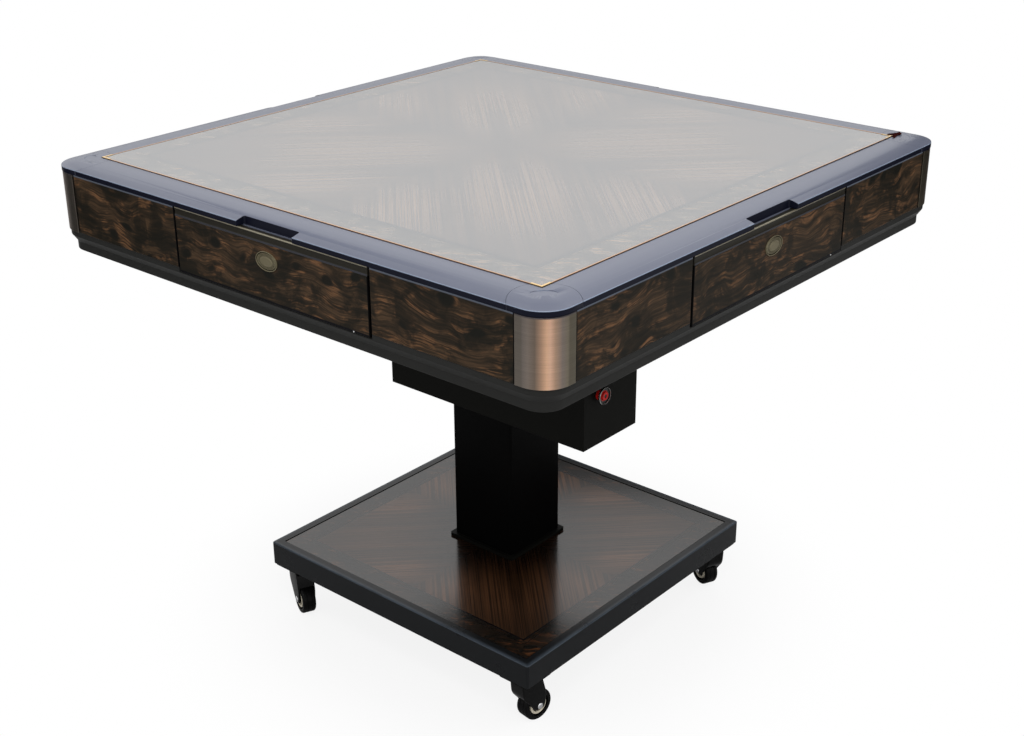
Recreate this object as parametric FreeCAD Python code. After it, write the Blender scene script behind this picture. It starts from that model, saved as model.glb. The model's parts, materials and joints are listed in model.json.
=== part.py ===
import FreeCAD, Part
import math
import os

os.makedirs("parts", exist_ok=True)
Vec = FreeCAD.Vector
up = Vec(0, 0, 1)

# The table's own frame: origin on the floor under the middle, +Z up, front drawer towards -Y.
# All sizes are millimetres. "d" is the distance from the middle towards a side.

# Foot base and casters
caster_height = 84.0          # floor to the underside of the base
caster_inset = 30.0           # swivel axis in from both edges of the base
caster_plate_width = 56.0
caster_plate_thickness = 3.0
caster_plate_corner = 5.0
caster_trail = 17.0           # wheel centre behind the swivel axis
wheel_radius = 25.0
wheel_width = 22.0
wheel_side_gap = 1.0          # to the fork, each side
wheel_room = 2.0              # between the tread and the fork's hood
wheel_hub_radius = 7.0
wheel_hub_proud = 0.5
wheel_ring_inner = 11.0
wheel_ring_outer = 15.0
wheel_dish_radius = 18.0
wheel_dish_depth = 3.0
tread_round = 3.0
axle_radius = 3.0
axle_boss_radius = 9.0
axle_head_margin = 2.0
axle_head_height = 2.0
kingpin_radius = 4.0
kingpin_head_margin = 3.0
kingpin_head_height = 2.0
kingpin_head_room = 3.0       # below the kingpin's head
kingpin_head_side = 1.0       # beside it
crown_radius = 18.0
crown_thickness = 6.0
fork_wall = 2.5
hood_overlap = 1.0            # hood's top up into the crown
hood_nose = 4.0               # hood beyond the crown over the wheel
hood_cheek = 3.0              # hood beyond the axle boss
hood_cheek_lift = 6.0
hood_tail = 3.0
base_width = 543.0
base_thickness = 39.0
base_rim_width = 15.0
base_corner_radius = 4.0
base_arris = 2.0
base_groove = 1.0
base_board_thickness = 18.0
base_board_corner = 2.0
base_board_drop = 1.0         # board's top below the rim's top
base_ledge_width = 66.0

# Column
column_width = 120.0
column_depth = 120.0
column_length = 508.0
column_wall = 2.5
column_corner_radius = 4.0
foot_margin = 6.5             # flange beyond the tube
foot_thickness = 5.0
head_length = 240.0
head_width = 180.0
head_thickness = 6.0

# Top: skirt, frame, panels, rails
table_width = 930.0           # over the rails
corner_radius = 40.0          # rails' outer corner, seen from above
underside_thickness = 3.0
underside_gap = 0.3           # to the skirt, each side
skirt_height = 32.0
skirt_top_inset = 2.5         # skirt's top edge in from the rails' edge
skirt_rim_height = 8.0        # upright rim at its top
skirt_bevel_height = 11.0     # bevel between the rim and the band below it
skirt_bevel_inset = 7.5
skirt_lip = 12.0
skirt_lip_thickness = 2.0
skirt_round = 2.0
frame_inset = 12.0            # frame's outer face in from the rails' edge
frame_wall = 12.0
frame_height = 75.0
frame_flange = 45.0
frame_flange_thickness = 4.0
panel_height = 87.0
panel_thickness = 10.0
plate_thickness = 11.4
plate_wrap = 50.0             # corner plate's reach from the rails' corner
panel_gap = 1.5
rail_width = 60.0
rail_thickness = 26.4
rail_crown_drop = 5.8
rail_lip_gap = 1.0            # lip above the panels
rail_edge_round = 1.0
rail_ledge_width = 8.3
rail_ledge_thickness = 11.0
corner_block_radius = 43.0
corner_block_centre = 32.0    # circle's centre in from the rails' edge
recess_inset = 41.0           # recess's middle in from the rails' edge
seam = 0.4
recess_length = 31.0
recess_width = 17.0
recess_depth = 0.6
notch_length = 106.0
notch_depth = 14.0
notch_round = 3.0

# Dining cover
cover_thickness = 15.8
cover_gap = 0.8               # to the rails, each side
cover_rest_gap = 0.2
trim_width = 2.5
trim_proud = 0.4
cap_leg = 18.0
cap_width = 3.5
cap_proud = 0.6
strap_width = 9.0
strap_inset = 4.0             # strap's side in from the cover's corner
strap_thickness = 0.8
strap_rest_gap = 0.4          # above the rails
strap_end_inset = 13.0        # strap's end in from the rails' edge

# Drawers
drawer_front_width = 366.0
drawer_front_thickness = 10.0
drawer_front_inset = 1.5      # front's outer face in from the rails' edge
drawer_front_drop = 5.5       # front's lower edge below the panels
drawer_gap = 3.0
drawer_room_below = 1.0       # skirt's cut-out below the front
drawer_box_inset = 7.0        # box's side in from the front's end
drawer_box_height = 61.0
drawer_box_depth = 94.0
drawer_wall = 6.0
drawer_floor = 4.0
drawer_box_lift = 1.0         # box floor above the skirt's top
pull_height = 12.4
pull_wall = 1.5
badge_length = 43.0
badge_width = 28.0
badge_thickness = 1.4
badge_rim = 2.5
badge_dish = 0.6
badge_boss_length = 21.5
badge_boss_width = 11.5
badge_lift = 17.0             # badge's middle above the burl's middle
runner_gap = 0.3
runner_sheet = 2.0
runner_height = 30.0
runner_ledge = 16.0
runner_flange = 22.0
runner_overrun = 6.0          # runner beyond the drawer's back
frame_opening_side_gap = 8.0
frame_opening_head = 7.0      # frame left above the drawer opening

# Machine under the cover
play_thickness = 5.0
play_gap = 0.5
slot_length = 331.0
slot_width = 34.0
slot_inset = 4.0              # slot's outer edge in from the deck's edge
slot_gap = 1.0
lifter_height = 20.0
lifter_travel = 55.0
lifter_chamfer = 1.0
post_width = 12.0
post_gap = 0.3
middle_hole_radius = 86.0
disc_gap = 2.0
disc_thickness = 8.0
disc_crown = 4.0
stem_radius = 10.0
stem_length = 86.0
running_gap = 0.05
deck_thickness = 4.0
deck_gap = 6.6                # to the drawer runners
spindle_radius = 15.0
spindle_top_gap = 14.0        # spindle's top below the play surface plate
spindle_flange_radius = 32.0
spindle_flange_thickness = 4.0
turntable_radius = 240.0
turntable_lift = 36.0         # turntable's floor above the deck
turntable_floor = 4.0
turntable_rim_height = 28.0
turntable_rim_wall = 4.0
hub_radius = 30.0
hub_gap = 0.3
motor_radius = 32.0
motor_height = 30.0
motor_bore_depth = 10.0
drive_wheel_radius = 30.0
drive_wheel_thickness = 16.0
drive_gap = 0.3
drive_wheel_lift = 2.0        # above the turntable's underside
drive_collar_radius = 8.0
drive_collar_gap = 1.0        # above the motor
shaft_radius = 4.0

# Housing box under the top, its switch and inlet
housing_length = 357.0
housing_width = 117.0
housing_height = 184.0
housing_end = 321.0           # right end, from the table's middle
housing_gap = 7.0             # to the column's head plate
housing_wall = 2.0
switch_inset = 33.0           # switch axis in from the housing's front
switch_hole_gap = 0.1
switch_drop = 110.0           # switch axis below the underside plate
collar_radius = 7.5
collar_out = 8.0
collar_in = 12.0
collar_nut_radius = 11.0
collar_nut_thickness = 2.0
bezel_radius = 12.0
bezel_rim = 1.2
bezel_height = 3.0
bezel_base = 1.0
button_radius = 6.0
button_out = 2.5              # button's face beyond the collar
button_dimple = 2.4
button_dimple_depth = 1.2
button_travel = 2.5
button_room = 1.0             # behind the pressed button
inlet_width = 28.0
inlet_height = 20.0
inlet_depth = 22.0
inlet_wall = 2.5
inlet_back_wall = 5.0
inlet_gap = 0.2
inlet_flange = 4.0
inlet_flange_thickness = 2.0
inlet_drop = 45.0             # inlet's middle below the underside plate
supply_length = 150.0
supply_width = 70.0
supply_height = 50.0
supply_corner = 3.0

# Screws
screw_radius = 2.5
screw_head_radius = 4.0
screw_head_height = 2.2
screw_depth = 17.0
screw_clearance = 0.1
caster_screw_inset = 7.0      # in from the caster plate's edges
column_screw_inset = 10.0
head_screw_inset = 15.0

cut_over = 1.0                # how far a cutting shape runs past a face
tiny = 0.01                   # for picking edges by where they lie

# Heights, from the floor up
base_top = caster_height + base_thickness
board_top = base_top - base_board_drop
foot_top = board_top + foot_thickness
column_top = foot_top + column_length
underside = column_top + head_thickness
deck_bottom = underside + underside_thickness
deck_top = deck_bottom + deck_thickness
skirt_bottom = underside - skirt_lip_thickness
skirt_top = skirt_bottom + skirt_height
frame_top = skirt_top + frame_height
panel_top = skirt_top + panel_height
lip_bottom = panel_top + rail_lip_gap
rail_top = frame_top + rail_thickness
ledge_top = frame_top + rail_ledge_thickness
cover_bottom = ledge_top + cover_rest_gap
cover_top = cover_bottom + cover_thickness
play_top = frame_top + play_thickness

# Distances from the middle
half = table_width / 2
corner_axis = half - corner_radius
frame_half = half - frame_inset
frame_inner = frame_half - frame_wall
ledge_inner = half - rail_width
pocket_half = ledge_inner + rail_ledge_width
cover_half = pocket_half - cover_gap
panel_end = half - plate_wrap - panel_gap
front_face = half - drawer_front_inset
front_back = front_face - drawer_front_thickness
drawer_half = drawer_front_width / 2
box_half = drawer_half - drawer_box_inset
box_back = front_back - drawer_box_depth
opening_half = box_half + frame_opening_side_gap
opening_top = frame_top - frame_opening_head
run_start = box_back - runner_overrun
deck_half = run_start - deck_gap
slot_distance = deck_half - slot_inset - slot_width / 2
base_half = base_width / 2
caster_place = base_half - caster_inset
housing_y1 = -head_width / 2 - housing_gap
housing_y0 = housing_y1 - housing_width
housing_x0 = housing_end - housing_length
switch_y = housing_y0 + switch_inset
switch_z = underside - switch_drop
inlet_y = (housing_y0 + housing_y1) / 2
inlet_z = underside - inlet_drop

# Side name to the turn that brings the front side there
side_turns = {"front": 0, "right": 90, "back": 180, "left": 270}
# Caster name to its corner and the way its wheel trails at rest, in degrees
casters = {
    "front_right": (1, -1, 81.5),
    "front_left": (-1, -1, -23.5),
    "back_right": (1, 1, 156.0),
    "back_left": (-1, 1, 35.0),
}


def box(x0, x1, y0, y1, z0, z1):
    return Part.makeBox(x1 - x0, y1 - y0, z1 - z0, Vec(x0, y0, z0))


def side_box(x_half, d0, d1, z0, z1):
    """A box across the front side, centred, from d0 to d1 out."""
    return box(-x_half, x_half, -d1, -d0, z0, z1)


def cylinder(radius, z0, z1, x=0.0, y=0.0):
    return Part.makeCylinder(radius, z1 - z0, Vec(x, y, z0))


def tube(outer, inner, z0, z1):
    return cylinder(outer, z0, z1).cut(cylinder(inner, z0, z1))


def block(x_half, y_half, radius, z0, z1):
    """A rectangular block with rounded upright edges, centred on the middle."""
    solid = box(-x_half, x_half, -y_half, y_half, z0, z1)
    if radius <= 0:
        return solid
    upright = [e for e in solid.Edges if abs(e.tangentAt(e.FirstParameter).z) > 0.9]
    return solid.makeFillet(radius, upright)


def turned(shape, degrees, centre=Vec(0, 0, 0), axis=up):
    copy = shape.copy()
    copy.rotate(centre, axis, degrees)
    return copy


def moved(shape, x, y, z):
    copy = shape.copy()
    copy.translate(Vec(x, y, z))
    return copy


def fused(shapes):
    return shapes[0].multiFuse(shapes[1:]).removeSplitter()


def profile_face(points, x):
    """A face on the plane at x from (d, z) points; a triple of points in the list is an arc."""
    place = lambda p: Vec(x, -p[0], p[1])
    edges = []
    last = points[0]
    for item in points[1:] + [points[0]]:
        if len(item) == 2 and not isinstance(item[0], tuple):
            edges.append(Part.makeLine(place(last), place(item)))
            last = item
        else:
            middle, end = item
            edges.append(Part.Arc(place(last), place(middle), place(end)).toShape())
            last = end
    return Part.Face(Part.Wire(edges))


def around_the_table(points):
    """The profile run round all four sides, turning about the corner axes."""
    straight = profile_face(points, -corner_axis).extrude(Vec(2 * corner_axis, 0, 0))
    corner = profile_face(points, corner_axis).revolve(Vec(corner_axis, -corner_axis, 0), up, 90)
    return fused([turned(s, a) for a in side_turns.values() for s in (straight, corner)])


def save(name, *shapes):
    solids = [solid for shape in shapes for solid in shape.Solids]
    shape = solids[0] if len(solids) == 1 else Part.makeCompound(solids)
    assert all(solid.isValid() for solid in solids), name
    shape.exportStep("parts/" + name + ".step")
    print(name, len(solids), "solids", round(shape.Volume / 1000), "cm3")


# Screws: a pan head below z and a shank up from z
def screw(x, y, z, depth, extra=0.0):
    shank = cylinder(screw_radius + extra, z, z + depth, x, y)
    if extra:
        return shank
    return fused([shank, cylinder(screw_head_radius, z - screw_head_height, z, x, y)])


def screw_places():
    """(x, y, z of the head's seat, shank length) of every screw."""
    places = []
    pitch = caster_plate_width / 2 - caster_screw_inset
    for sx, sy, _ in casters.values():
        for dx in (-pitch, pitch):
            for dy in (-pitch, pitch):
                x, y = sx * caster_place + dx, sy * caster_place + dy
                places.append((x, y, caster_height - caster_plate_thickness, screw_depth))
    foot_x = column_width / 2 - column_wall - column_screw_inset
    foot_y = column_depth / 2 - column_wall - column_screw_inset
    head_x = head_length / 2 - head_screw_inset
    head_y = head_width / 2 - head_screw_inset
    board_bottom = board_top - base_board_thickness
    for sx in (-1, 1):
        for sy in (-1, 1):
            places.append((sx * foot_x, sy * foot_y, board_bottom, foot_top - board_bottom))
            places.append((sx * head_x, sy * head_y, column_top, deck_bottom - column_top))
    return places


def with_screw_holes(shape):
    return shape.cut(Part.makeCompound([screw(*p, extra=screw_clearance) for p in screw_places()]))


def make_screws():
    save("mounting_screws", *[screw(*p) for p in screw_places()])


# Foot base: a rim frame with a wide ledge under an inlaid board
def make_base():
    inner = base_half - base_rim_width
    ledge_top_height = board_top - base_board_thickness
    rim = block(base_half, base_half, base_corner_radius, caster_height, base_top)
    top_edges = [e for e in rim.Edges if e.BoundBox.ZMin > base_top - tiny]
    rim = rim.makeFillet(base_arris, top_edges)
    rim = rim.cut(box(-inner, inner, -inner, inner, ledge_top_height, base_top))
    hole = inner - base_ledge_width
    rim = rim.cut(box(-hole, hole, -hole, hole, caster_height, base_top))
    save("base_rim", with_screw_holes(rim))
    board_half = inner - base_groove
    board = block(board_half, board_half, base_board_corner, ledge_top_height, board_top)
    save("base_board", with_screw_holes(board))


# Casters, drawn with the swivel axis at the middle and the wheel trailing along +X
def caster_plate():
    half_plate = caster_plate_width / 2
    bottom = caster_height - caster_plate_thickness
    crown_top = bottom - hub_gap
    crown_bottom = crown_top - crown_thickness
    plate = block(half_plate, half_plate, caster_plate_corner, bottom, caster_height)
    head_top = crown_bottom - hub_gap
    pin = cylinder(kingpin_radius, head_top, bottom)
    head = cylinder(kingpin_radius + kingpin_head_margin, head_top - kingpin_head_height, head_top)
    return fused([plate, pin, head])


def caster_fork():
    crown_top = caster_height - caster_plate_thickness - hub_gap
    crown_bottom = crown_top - crown_thickness
    slot_half = wheel_width / 2 + wheel_side_gap
    outer_half = slot_half + fork_wall
    boss = axle_boss_radius
    hood_top = crown_bottom + hood_overlap
    axle = Vec(caster_trail, -outer_half, wheel_radius)
    across = Vec(0, 1, 0)
    outline = [
        (-crown_radius + hood_overlap, hood_top),
        (crown_radius + hood_nose, hood_top),
        (caster_trail + boss + hood_cheek, wheel_radius + boss + hood_cheek_lift),
        (caster_trail + boss, wheel_radius),
        (caster_trail - boss, wheel_radius - hood_cheek),
        (-crown_radius + hood_tail, 2 * wheel_radius),
    ]
    points = [Vec(x, -outer_half, z) for x, z in outline]
    hood = Part.Face(Part.makePolygon(points + points[:1])).extrude(Vec(0, 2 * outer_half, 0))
    eye = Part.makeCylinder(boss, 2 * outer_half, axle, across)
    shell = fused([hood, eye, cylinder(crown_radius, crown_bottom, crown_top)])
    room = Part.makeCylinder(wheel_radius + wheel_room, 2 * slot_half,
                             Vec(caster_trail, -slot_half, wheel_radius), across)
    below = box(-caster_height, caster_height, -slot_half, slot_half, 0, wheel_radius)
    pin_room = cylinder(kingpin_radius + kingpin_head_margin + kingpin_head_side,
                        crown_bottom - kingpin_head_height - kingpin_head_room, crown_bottom)
    pin_bore = cylinder(kingpin_radius + running_gap, crown_bottom, crown_top)
    shell = shell.cut(Part.makeCompound([room, below])).cut(pin_room).cut(pin_bore)
    head_radius = axle_radius + axle_head_margin
    ends = [Part.makeCylinder(head_radius, axle_head_height, axle - across * axle_head_height, across),
            Part.makeCylinder(head_radius, axle_head_height, axle + across * (2 * outer_half), across)]
    pin = Part.makeCylinder(axle_radius, 2 * outer_half, axle, across)
    return fused([shell, pin] + ends)


def caster_wheel():
    """Turned about the axle: tyre, a raised ring on each face and a hub."""
    side = wheel_width / 2
    web = side - wheel_dish_depth
    ring_top = side - wheel_hub_proud
    profile = [
        (axle_radius + running_gap, side + wheel_hub_proud),
        (wheel_hub_radius, side + wheel_hub_proud),
        (wheel_hub_radius, web),
        (wheel_ring_inner, web),
        (wheel_ring_inner, ring_top),
        (wheel_ring_outer, ring_top),
        (wheel_ring_outer, web),
        (wheel_dish_radius, web),
        (wheel_dish_radius, side),
        (wheel_radius - tread_round, side),
    ]
    outer = [Vec(r, w, 0) for r, w in profile]
    inner = [Vec(r, -w, 0) for r, w in reversed(profile)]
    edges = [Part.makeLine(a, b) for a, b in zip(outer, outer[1:])]
    edges.append(Part.makeLine(inner[-1], outer[0]))
    rim_top = Vec(wheel_radius, side - tread_round, 0)
    slope = math.sqrt(0.5) * tread_round
    bend = Vec(wheel_radius - tread_round + slope, side - tread_round + slope, 0)
    edges.append(Part.Arc(outer[-1], bend, rim_top).toShape())
    edges.append(Part.makeLine(rim_top, Vec(rim_top.x, -rim_top.y, 0)))
    edges.append(Part.Arc(Vec(rim_top.x, -rim_top.y, 0), Vec(bend.x, -bend.y, 0), inner[0]).toShape())
    edges += [Part.makeLine(a, b) for a, b in zip(inner, inner[1:])]
    face = Part.Face(Part.Wire(Part.__sortEdges__(edges)))
    wheel = face.revolve(Vec(0, 0, 0), Vec(0, 1, 0), 360)
    return moved(wheel, caster_trail, 0, wheel_radius)


def make_casters():
    plates = []
    for name, (sx, sy, angle) in casters.items():
        x, y = sx * caster_place, sy * caster_place
        plates.append(moved(caster_plate(), x, y, 0))
        save("caster_fork_" + name, moved(turned(caster_fork(), angle), x, y, 0))
        save("caster_wheel_" + name, moved(turned(caster_wheel(), angle), x, y, 0))
    save("caster_plates", *[with_screw_holes(plate) for plate in plates])


# Column: tube between a foot flange and a head plate
def make_column():
    outer = block(column_width / 2, column_depth / 2, column_corner_radius, foot_top, column_top)
    inner = block(column_width / 2 - column_wall, column_depth / 2 - column_wall,
                  column_corner_radius - column_wall, foot_top, column_top)
    save("column_tube", outer.cut(inner))
    foot = block(column_width / 2 + foot_margin, column_depth / 2 + foot_margin,
                 column_corner_radius, board_top, foot_top)
    head = block(head_length / 2, head_width / 2, column_corner_radius, column_top, underside)
    save("column_flanges", with_screw_holes(foot), with_screw_holes(head))


# Skirt, underside plate and apron frame
def make_skirt():
    top_d = half - skirt_top_inset
    low_d = top_d - skirt_bevel_inset
    rim_bottom = skirt_top - skirt_rim_height
    turn = skirt_round * (1 - math.sqrt(0.5))
    lip_d = frame_inner - skirt_lip
    skirt = around_the_table([
        (lip_d, skirt_bottom),
        (low_d - skirt_round, skirt_bottom),
        ((low_d - turn, skirt_bottom + turn), (low_d, skirt_bottom + skirt_round)),
        (low_d, rim_bottom - skirt_bevel_height),
        (top_d, rim_bottom),
        (top_d, skirt_top),
        (frame_inner, skirt_top),
        (frame_inner, underside),
        (lip_d, underside),
    ])
    room_bottom = skirt_top - drawer_front_drop - drawer_room_below
    room = side_box(drawer_half + drawer_gap, lip_d, half, room_bottom, skirt_top)
    save("skirt_frame", skirt.cut(Part.makeCompound([turned(room, a) for a in side_turns.values()])))
    plate_half = frame_inner - underside_gap
    plate = block(plate_half, plate_half, plate_half - corner_axis, underside, deck_bottom)
    save("underside_plate", with_screw_holes(plate))


def make_frame():
    wall = block(frame_half, frame_half, frame_half - corner_axis, skirt_top, frame_top)
    hollow = block(frame_inner, frame_inner, frame_inner - corner_axis, skirt_top,
                   frame_top - frame_flange_thickness)
    flange_half = frame_inner - frame_flange
    well = box(-flange_half, flange_half, -flange_half, flange_half, skirt_top, frame_top)
    opening = side_box(opening_half, frame_inner - cut_over, frame_half + cut_over, skirt_top, opening_top)
    openings = [turned(opening, a) for a in side_turns.values()]
    save("apron_frame", wall.cut(hollow).cut(well).cut(Part.makeCompound(openings)))


# Burl side panels and rounded corner plates, all standing on the skirt
def make_sides():
    start = drawer_half + drawer_gap
    right = box(start, panel_end, -frame_half - panel_thickness, -frame_half, skirt_top, panel_top)
    left = box(-panel_end, -start, -frame_half - panel_thickness, -frame_half, skirt_top, panel_top)
    for side, angle in side_turns.items():
        save("side_panels_" + side, turned(left, angle), turned(right, angle))
    outer_half = frame_half + plate_thickness
    shell = block(outer_half, outer_half, outer_half - corner_axis, skirt_top, panel_top)
    shell = shell.cut(block(frame_half, frame_half, frame_half - corner_axis, skirt_top, panel_top))
    reach = half - plate_wrap
    corner = shell.common(box(reach, half, -half, -reach, skirt_top, panel_top))
    save("corner_plates", *[turned(corner, a) for a in side_turns.values()])


# Top rails: one convex ring, parted by round seams into four rails and four corner blocks
def rail_ring():
    run = half - rail_edge_round - corner_axis
    radius = (run ** 2 + rail_crown_drop ** 2) / (2 * rail_crown_drop)
    middle_turn = math.asin(run / radius) / 2
    crown_middle = (corner_axis + radius * math.sin(middle_turn),
                    rail_top - radius + radius * math.cos(middle_turn))
    edge_top = rail_top - rail_crown_drop
    turn = rail_edge_round * (1 - math.sqrt(0.5))
    outer = around_the_table([
        (corner_axis, frame_top),
        (corner_axis, rail_top),
        (crown_middle, (half - rail_edge_round, edge_top)),
        ((half - turn, edge_top - turn), (half, edge_top - rail_edge_round)),
        (half, lip_bottom),
        (frame_half, lip_bottom),
        (frame_half, frame_top),
    ])
    inner = box(-corner_axis, corner_axis, -corner_axis, corner_axis, frame_top, rail_top)
    inner = inner.cut(box(-ledge_inner, ledge_inner, -ledge_inner, ledge_inner, frame_top, rail_top))
    inner = inner.cut(box(-pocket_half, pocket_half, -pocket_half, pocket_half, ledge_top, rail_top))
    return fused([outer, inner])


def seam_cylinders(extra):
    place = half - corner_block_centre
    return [cylinder(corner_block_radius + extra, 0, rail_top + cut_over, sx * place, sy * place)
            for sx in (-1, 1) for sy in (-1, 1)]


def oval(length, width, z0, z1):
    ellipse = Part.Ellipse(Vec(0, 0, z0), length / 2, width / 2).toShape()
    return Part.Face(Part.Wire([ellipse])).extrude(Vec(0, 0, z1 - z0))


def make_rails():
    ring = rail_ring()
    notch_half = notch_length / 2
    notch = box(-notch_half, notch_half, -half - notch_round, notch_depth - half, lip_bottom, rail_top)
    inner_edges = [e for e in notch.Edges
                   if e.BoundBox.YMax - e.BoundBox.YMin < tiny
                   and e.BoundBox.XMax - e.BoundBox.XMin < tiny
                   and e.BoundBox.YMax > -half]
    notch = notch.makeFillet(notch_round, inner_edges)
    ring = ring.cut(Part.makeCompound([turned(notch, a) for a in side_turns.values()]))
    rails = ring.cut(Part.makeCompound(seam_cylinders(seam / 2))).Solids
    for side, angle in side_turns.items():
        way = turned(Part.Vertex(0, -1, 0), angle).Point
        rail = max(rails, key=lambda s: s.CenterOfMass.dot(way))
        save("rail_" + side, rail)
    blocks = []
    place = half - recess_inset
    recess = oval(recess_length, recess_width, rail_top - recess_depth, rail_top + cut_over)
    recess = moved(turned(recess, 45), place, -place, 0)
    recesses = Part.makeCompound([turned(recess, a) for a in side_turns.values()])
    for cylinder_shape in seam_cylinders(-seam / 2):
        blocks.append(ring.common(cylinder_shape).cut(recesses))
    save("rail_corner_blocks", *blocks)


# Dining cover: board, gold edge trim, corner caps and a lift strap
def make_cover():
    board_half = cover_half - trim_width
    cap_inner = cover_half - cap_width
    cap_start = cover_half - cap_leg
    cap = box(cap_start, cover_half, -cover_half, -cap_start, cover_bottom, cover_top + cap_proud)
    cap = cap.cut(box(0, cap_inner, -cap_inner, 0, cover_bottom, cover_top + cap_proud))
    caps = [turned(cap, a) for a in side_turns.values()]
    all_caps = Part.makeCompound(caps)
    board = box(-board_half, board_half, -board_half, board_half, cover_bottom, cover_top)
    save("cover_board", board.cut(all_caps))
    trim = box(-cover_half, cover_half, -cover_half, cover_half, cover_bottom, cover_top + trim_proud)
    trim = trim.cut(box(-board_half, board_half, -board_half, board_half, cover_bottom,
                        cover_top + trim_proud))
    save("cover_edge_trim", trim.cut(all_caps))
    strap_x1 = cover_half - strap_inset
    strap_x0 = strap_x1 - strap_width
    strap_y = cover_half - strap_thickness
    strap_end = half - strap_end_inset
    strap_bottom = rail_top + strap_rest_gap
    strap_top = strap_bottom + strap_thickness
    upright = box(strap_x0, strap_x1, strap_y, cover_half, cover_bottom, strap_bottom)
    lying = box(strap_x0, strap_x1, strap_y, strap_end, strap_bottom, strap_top)
    save("cover_lift_strap", fused([upright, lying]))
    notch = box(strap_x0, strap_x1, strap_y, cover_half, cover_bottom, cover_top + cap_proud)
    save("cover_corner_caps", *[cap.cut(notch) for cap in caps])


# Drawers: box, burl front, metal pull profile with the badge, and the runners they slide on
def drawer_pull():
    pull_bottom = panel_top - pull_height
    whole = side_box(drawer_half, front_back, front_face, pull_bottom, panel_top)
    hollow = side_box(drawer_half, front_back, front_face - pull_wall,
                      pull_bottom + pull_wall, panel_top - pull_wall)
    return whole.cut(hollow)


def drawer_badge():
    front_low = skirt_top - drawer_front_drop
    middle = (front_low + panel_top - pull_height) / 2 + badge_lift
    badge = oval(badge_length, badge_width, 0, badge_thickness)
    dish = oval(badge_length - 2 * badge_rim, badge_width - 2 * badge_rim,
                badge_thickness - badge_dish, badge_thickness)
    boss = oval(badge_boss_length, badge_boss_width, 0, badge_thickness)
    badge = fused([badge.cut(dish), boss])
    return moved(turned(badge, 90, axis=Vec(1, 0, 0)), 0, -front_face, middle)


def make_drawers():
    front_low = skirt_top - drawer_front_drop
    front = side_box(drawer_half, front_back, front_face, front_low, panel_top - pull_height)
    box_bottom = skirt_top + drawer_box_lift
    box_top = box_bottom + drawer_box_height
    body = side_box(box_half, box_back, front_back, box_bottom, box_top)
    room = side_box(box_half - drawer_wall, box_back + drawer_wall, front_back - drawer_wall,
                    box_bottom + drawer_floor, box_top)
    runners = []
    side_x = box_half + runner_gap
    low = box_bottom - runner_gap - runner_sheet
    upright = box(side_x, side_x + runner_sheet, -frame_inner, -run_start, low, low + runner_height)
    ledge = box(side_x - runner_ledge, side_x, -frame_inner, -run_start, low, low + runner_sheet)
    flange = box(side_x, side_x + runner_flange, -frame_inner, runner_sheet - frame_inner,
                 low, low + runner_height)
    runner = fused([upright, ledge, flange])
    for side, angle in side_turns.items():
        save("drawer_box_" + side, turned(body.cut(room), angle))
        save("drawer_front_" + side, turned(front, angle))
        save("drawer_trim_" + side, turned(drawer_pull(), angle), turned(drawer_badge(), angle))
        runners += [turned(runner, angle), turned(runner.mirror(Vec(0, 0, 0), Vec(1, 0, 0)), angle)]
    save("drawer_runners", *runners)


# Play surface with four wall slots and the middle opening
def make_play_surface():
    plate_half = ledge_inner - play_gap
    plate = box(-plate_half, plate_half, -plate_half, plate_half, frame_top, play_top)
    slot = side_box(slot_length / 2, slot_distance - slot_width / 2, slot_distance + slot_width / 2,
                    frame_top, play_top)
    holes = [turned(slot, a) for a in side_turns.values()]
    holes.append(cylinder(middle_hole_radius, frame_top, play_top))
    save("play_surface", plate.cut(Part.makeCompound(holes)))


def make_control_disc():
    radius = middle_hole_radius - disc_gap
    low = play_top - disc_thickness
    plate = cylinder(radius, low, play_top)
    ball = (radius ** 2 + disc_crown ** 2) / (2 * disc_crown)
    crown = Part.makeSphere(ball, Vec(0, 0, play_top + disc_crown - ball))
    crown = crown.common(cylinder(radius, play_top, play_top + disc_crown))
    stem = cylinder(stem_radius, low - stem_length, low)
    save("control_disc", fused([plate, crown, stem]))


def make_lifters():
    x_half = slot_length / 2 - slot_gap
    d_half = slot_width / 2 - slot_gap
    top = play_top - slot_gap - lifter_travel
    bar = side_box(x_half, slot_distance - d_half, slot_distance + d_half, top - lifter_height, top)
    long_edges = [e for e in bar.Edges if e.BoundBox.XMax - e.BoundBox.XMin > x_half and
                  e.BoundBox.ZMin > top - tiny]
    bar = bar.makeChamfer(lifter_chamfer, long_edges)
    for side, angle in side_turns.items():
        save("tile_lifter_" + side, turned(bar, angle))


# Deck that carries the machine: plate, lifter posts and the hollow spindle
def make_deck():
    plate = box(-deck_half, deck_half, -deck_half, deck_half, deck_bottom, deck_top)
    post_x = slot_length / 2 - slot_gap + post_gap
    post_half = slot_width / 2 - 2 * slot_gap
    posts = []
    for angle in side_turns.values():
        for x0 in (post_x, -post_x - post_width):
            post = box(x0, x0 + post_width, -slot_distance - post_half, -slot_distance + post_half,
                       deck_top, frame_top)
            posts.append(turned(post, angle))
    spindle_top = frame_top - spindle_top_gap
    spindle = [cylinder(spindle_radius, deck_top, spindle_top),
               cylinder(spindle_flange_radius, deck_top, deck_top + spindle_flange_thickness)]
    deck = fused([plate] + posts + spindle)
    save("machine_deck", deck.cut(cylinder(stem_radius + running_gap, deck_top, spindle_top)))


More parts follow.
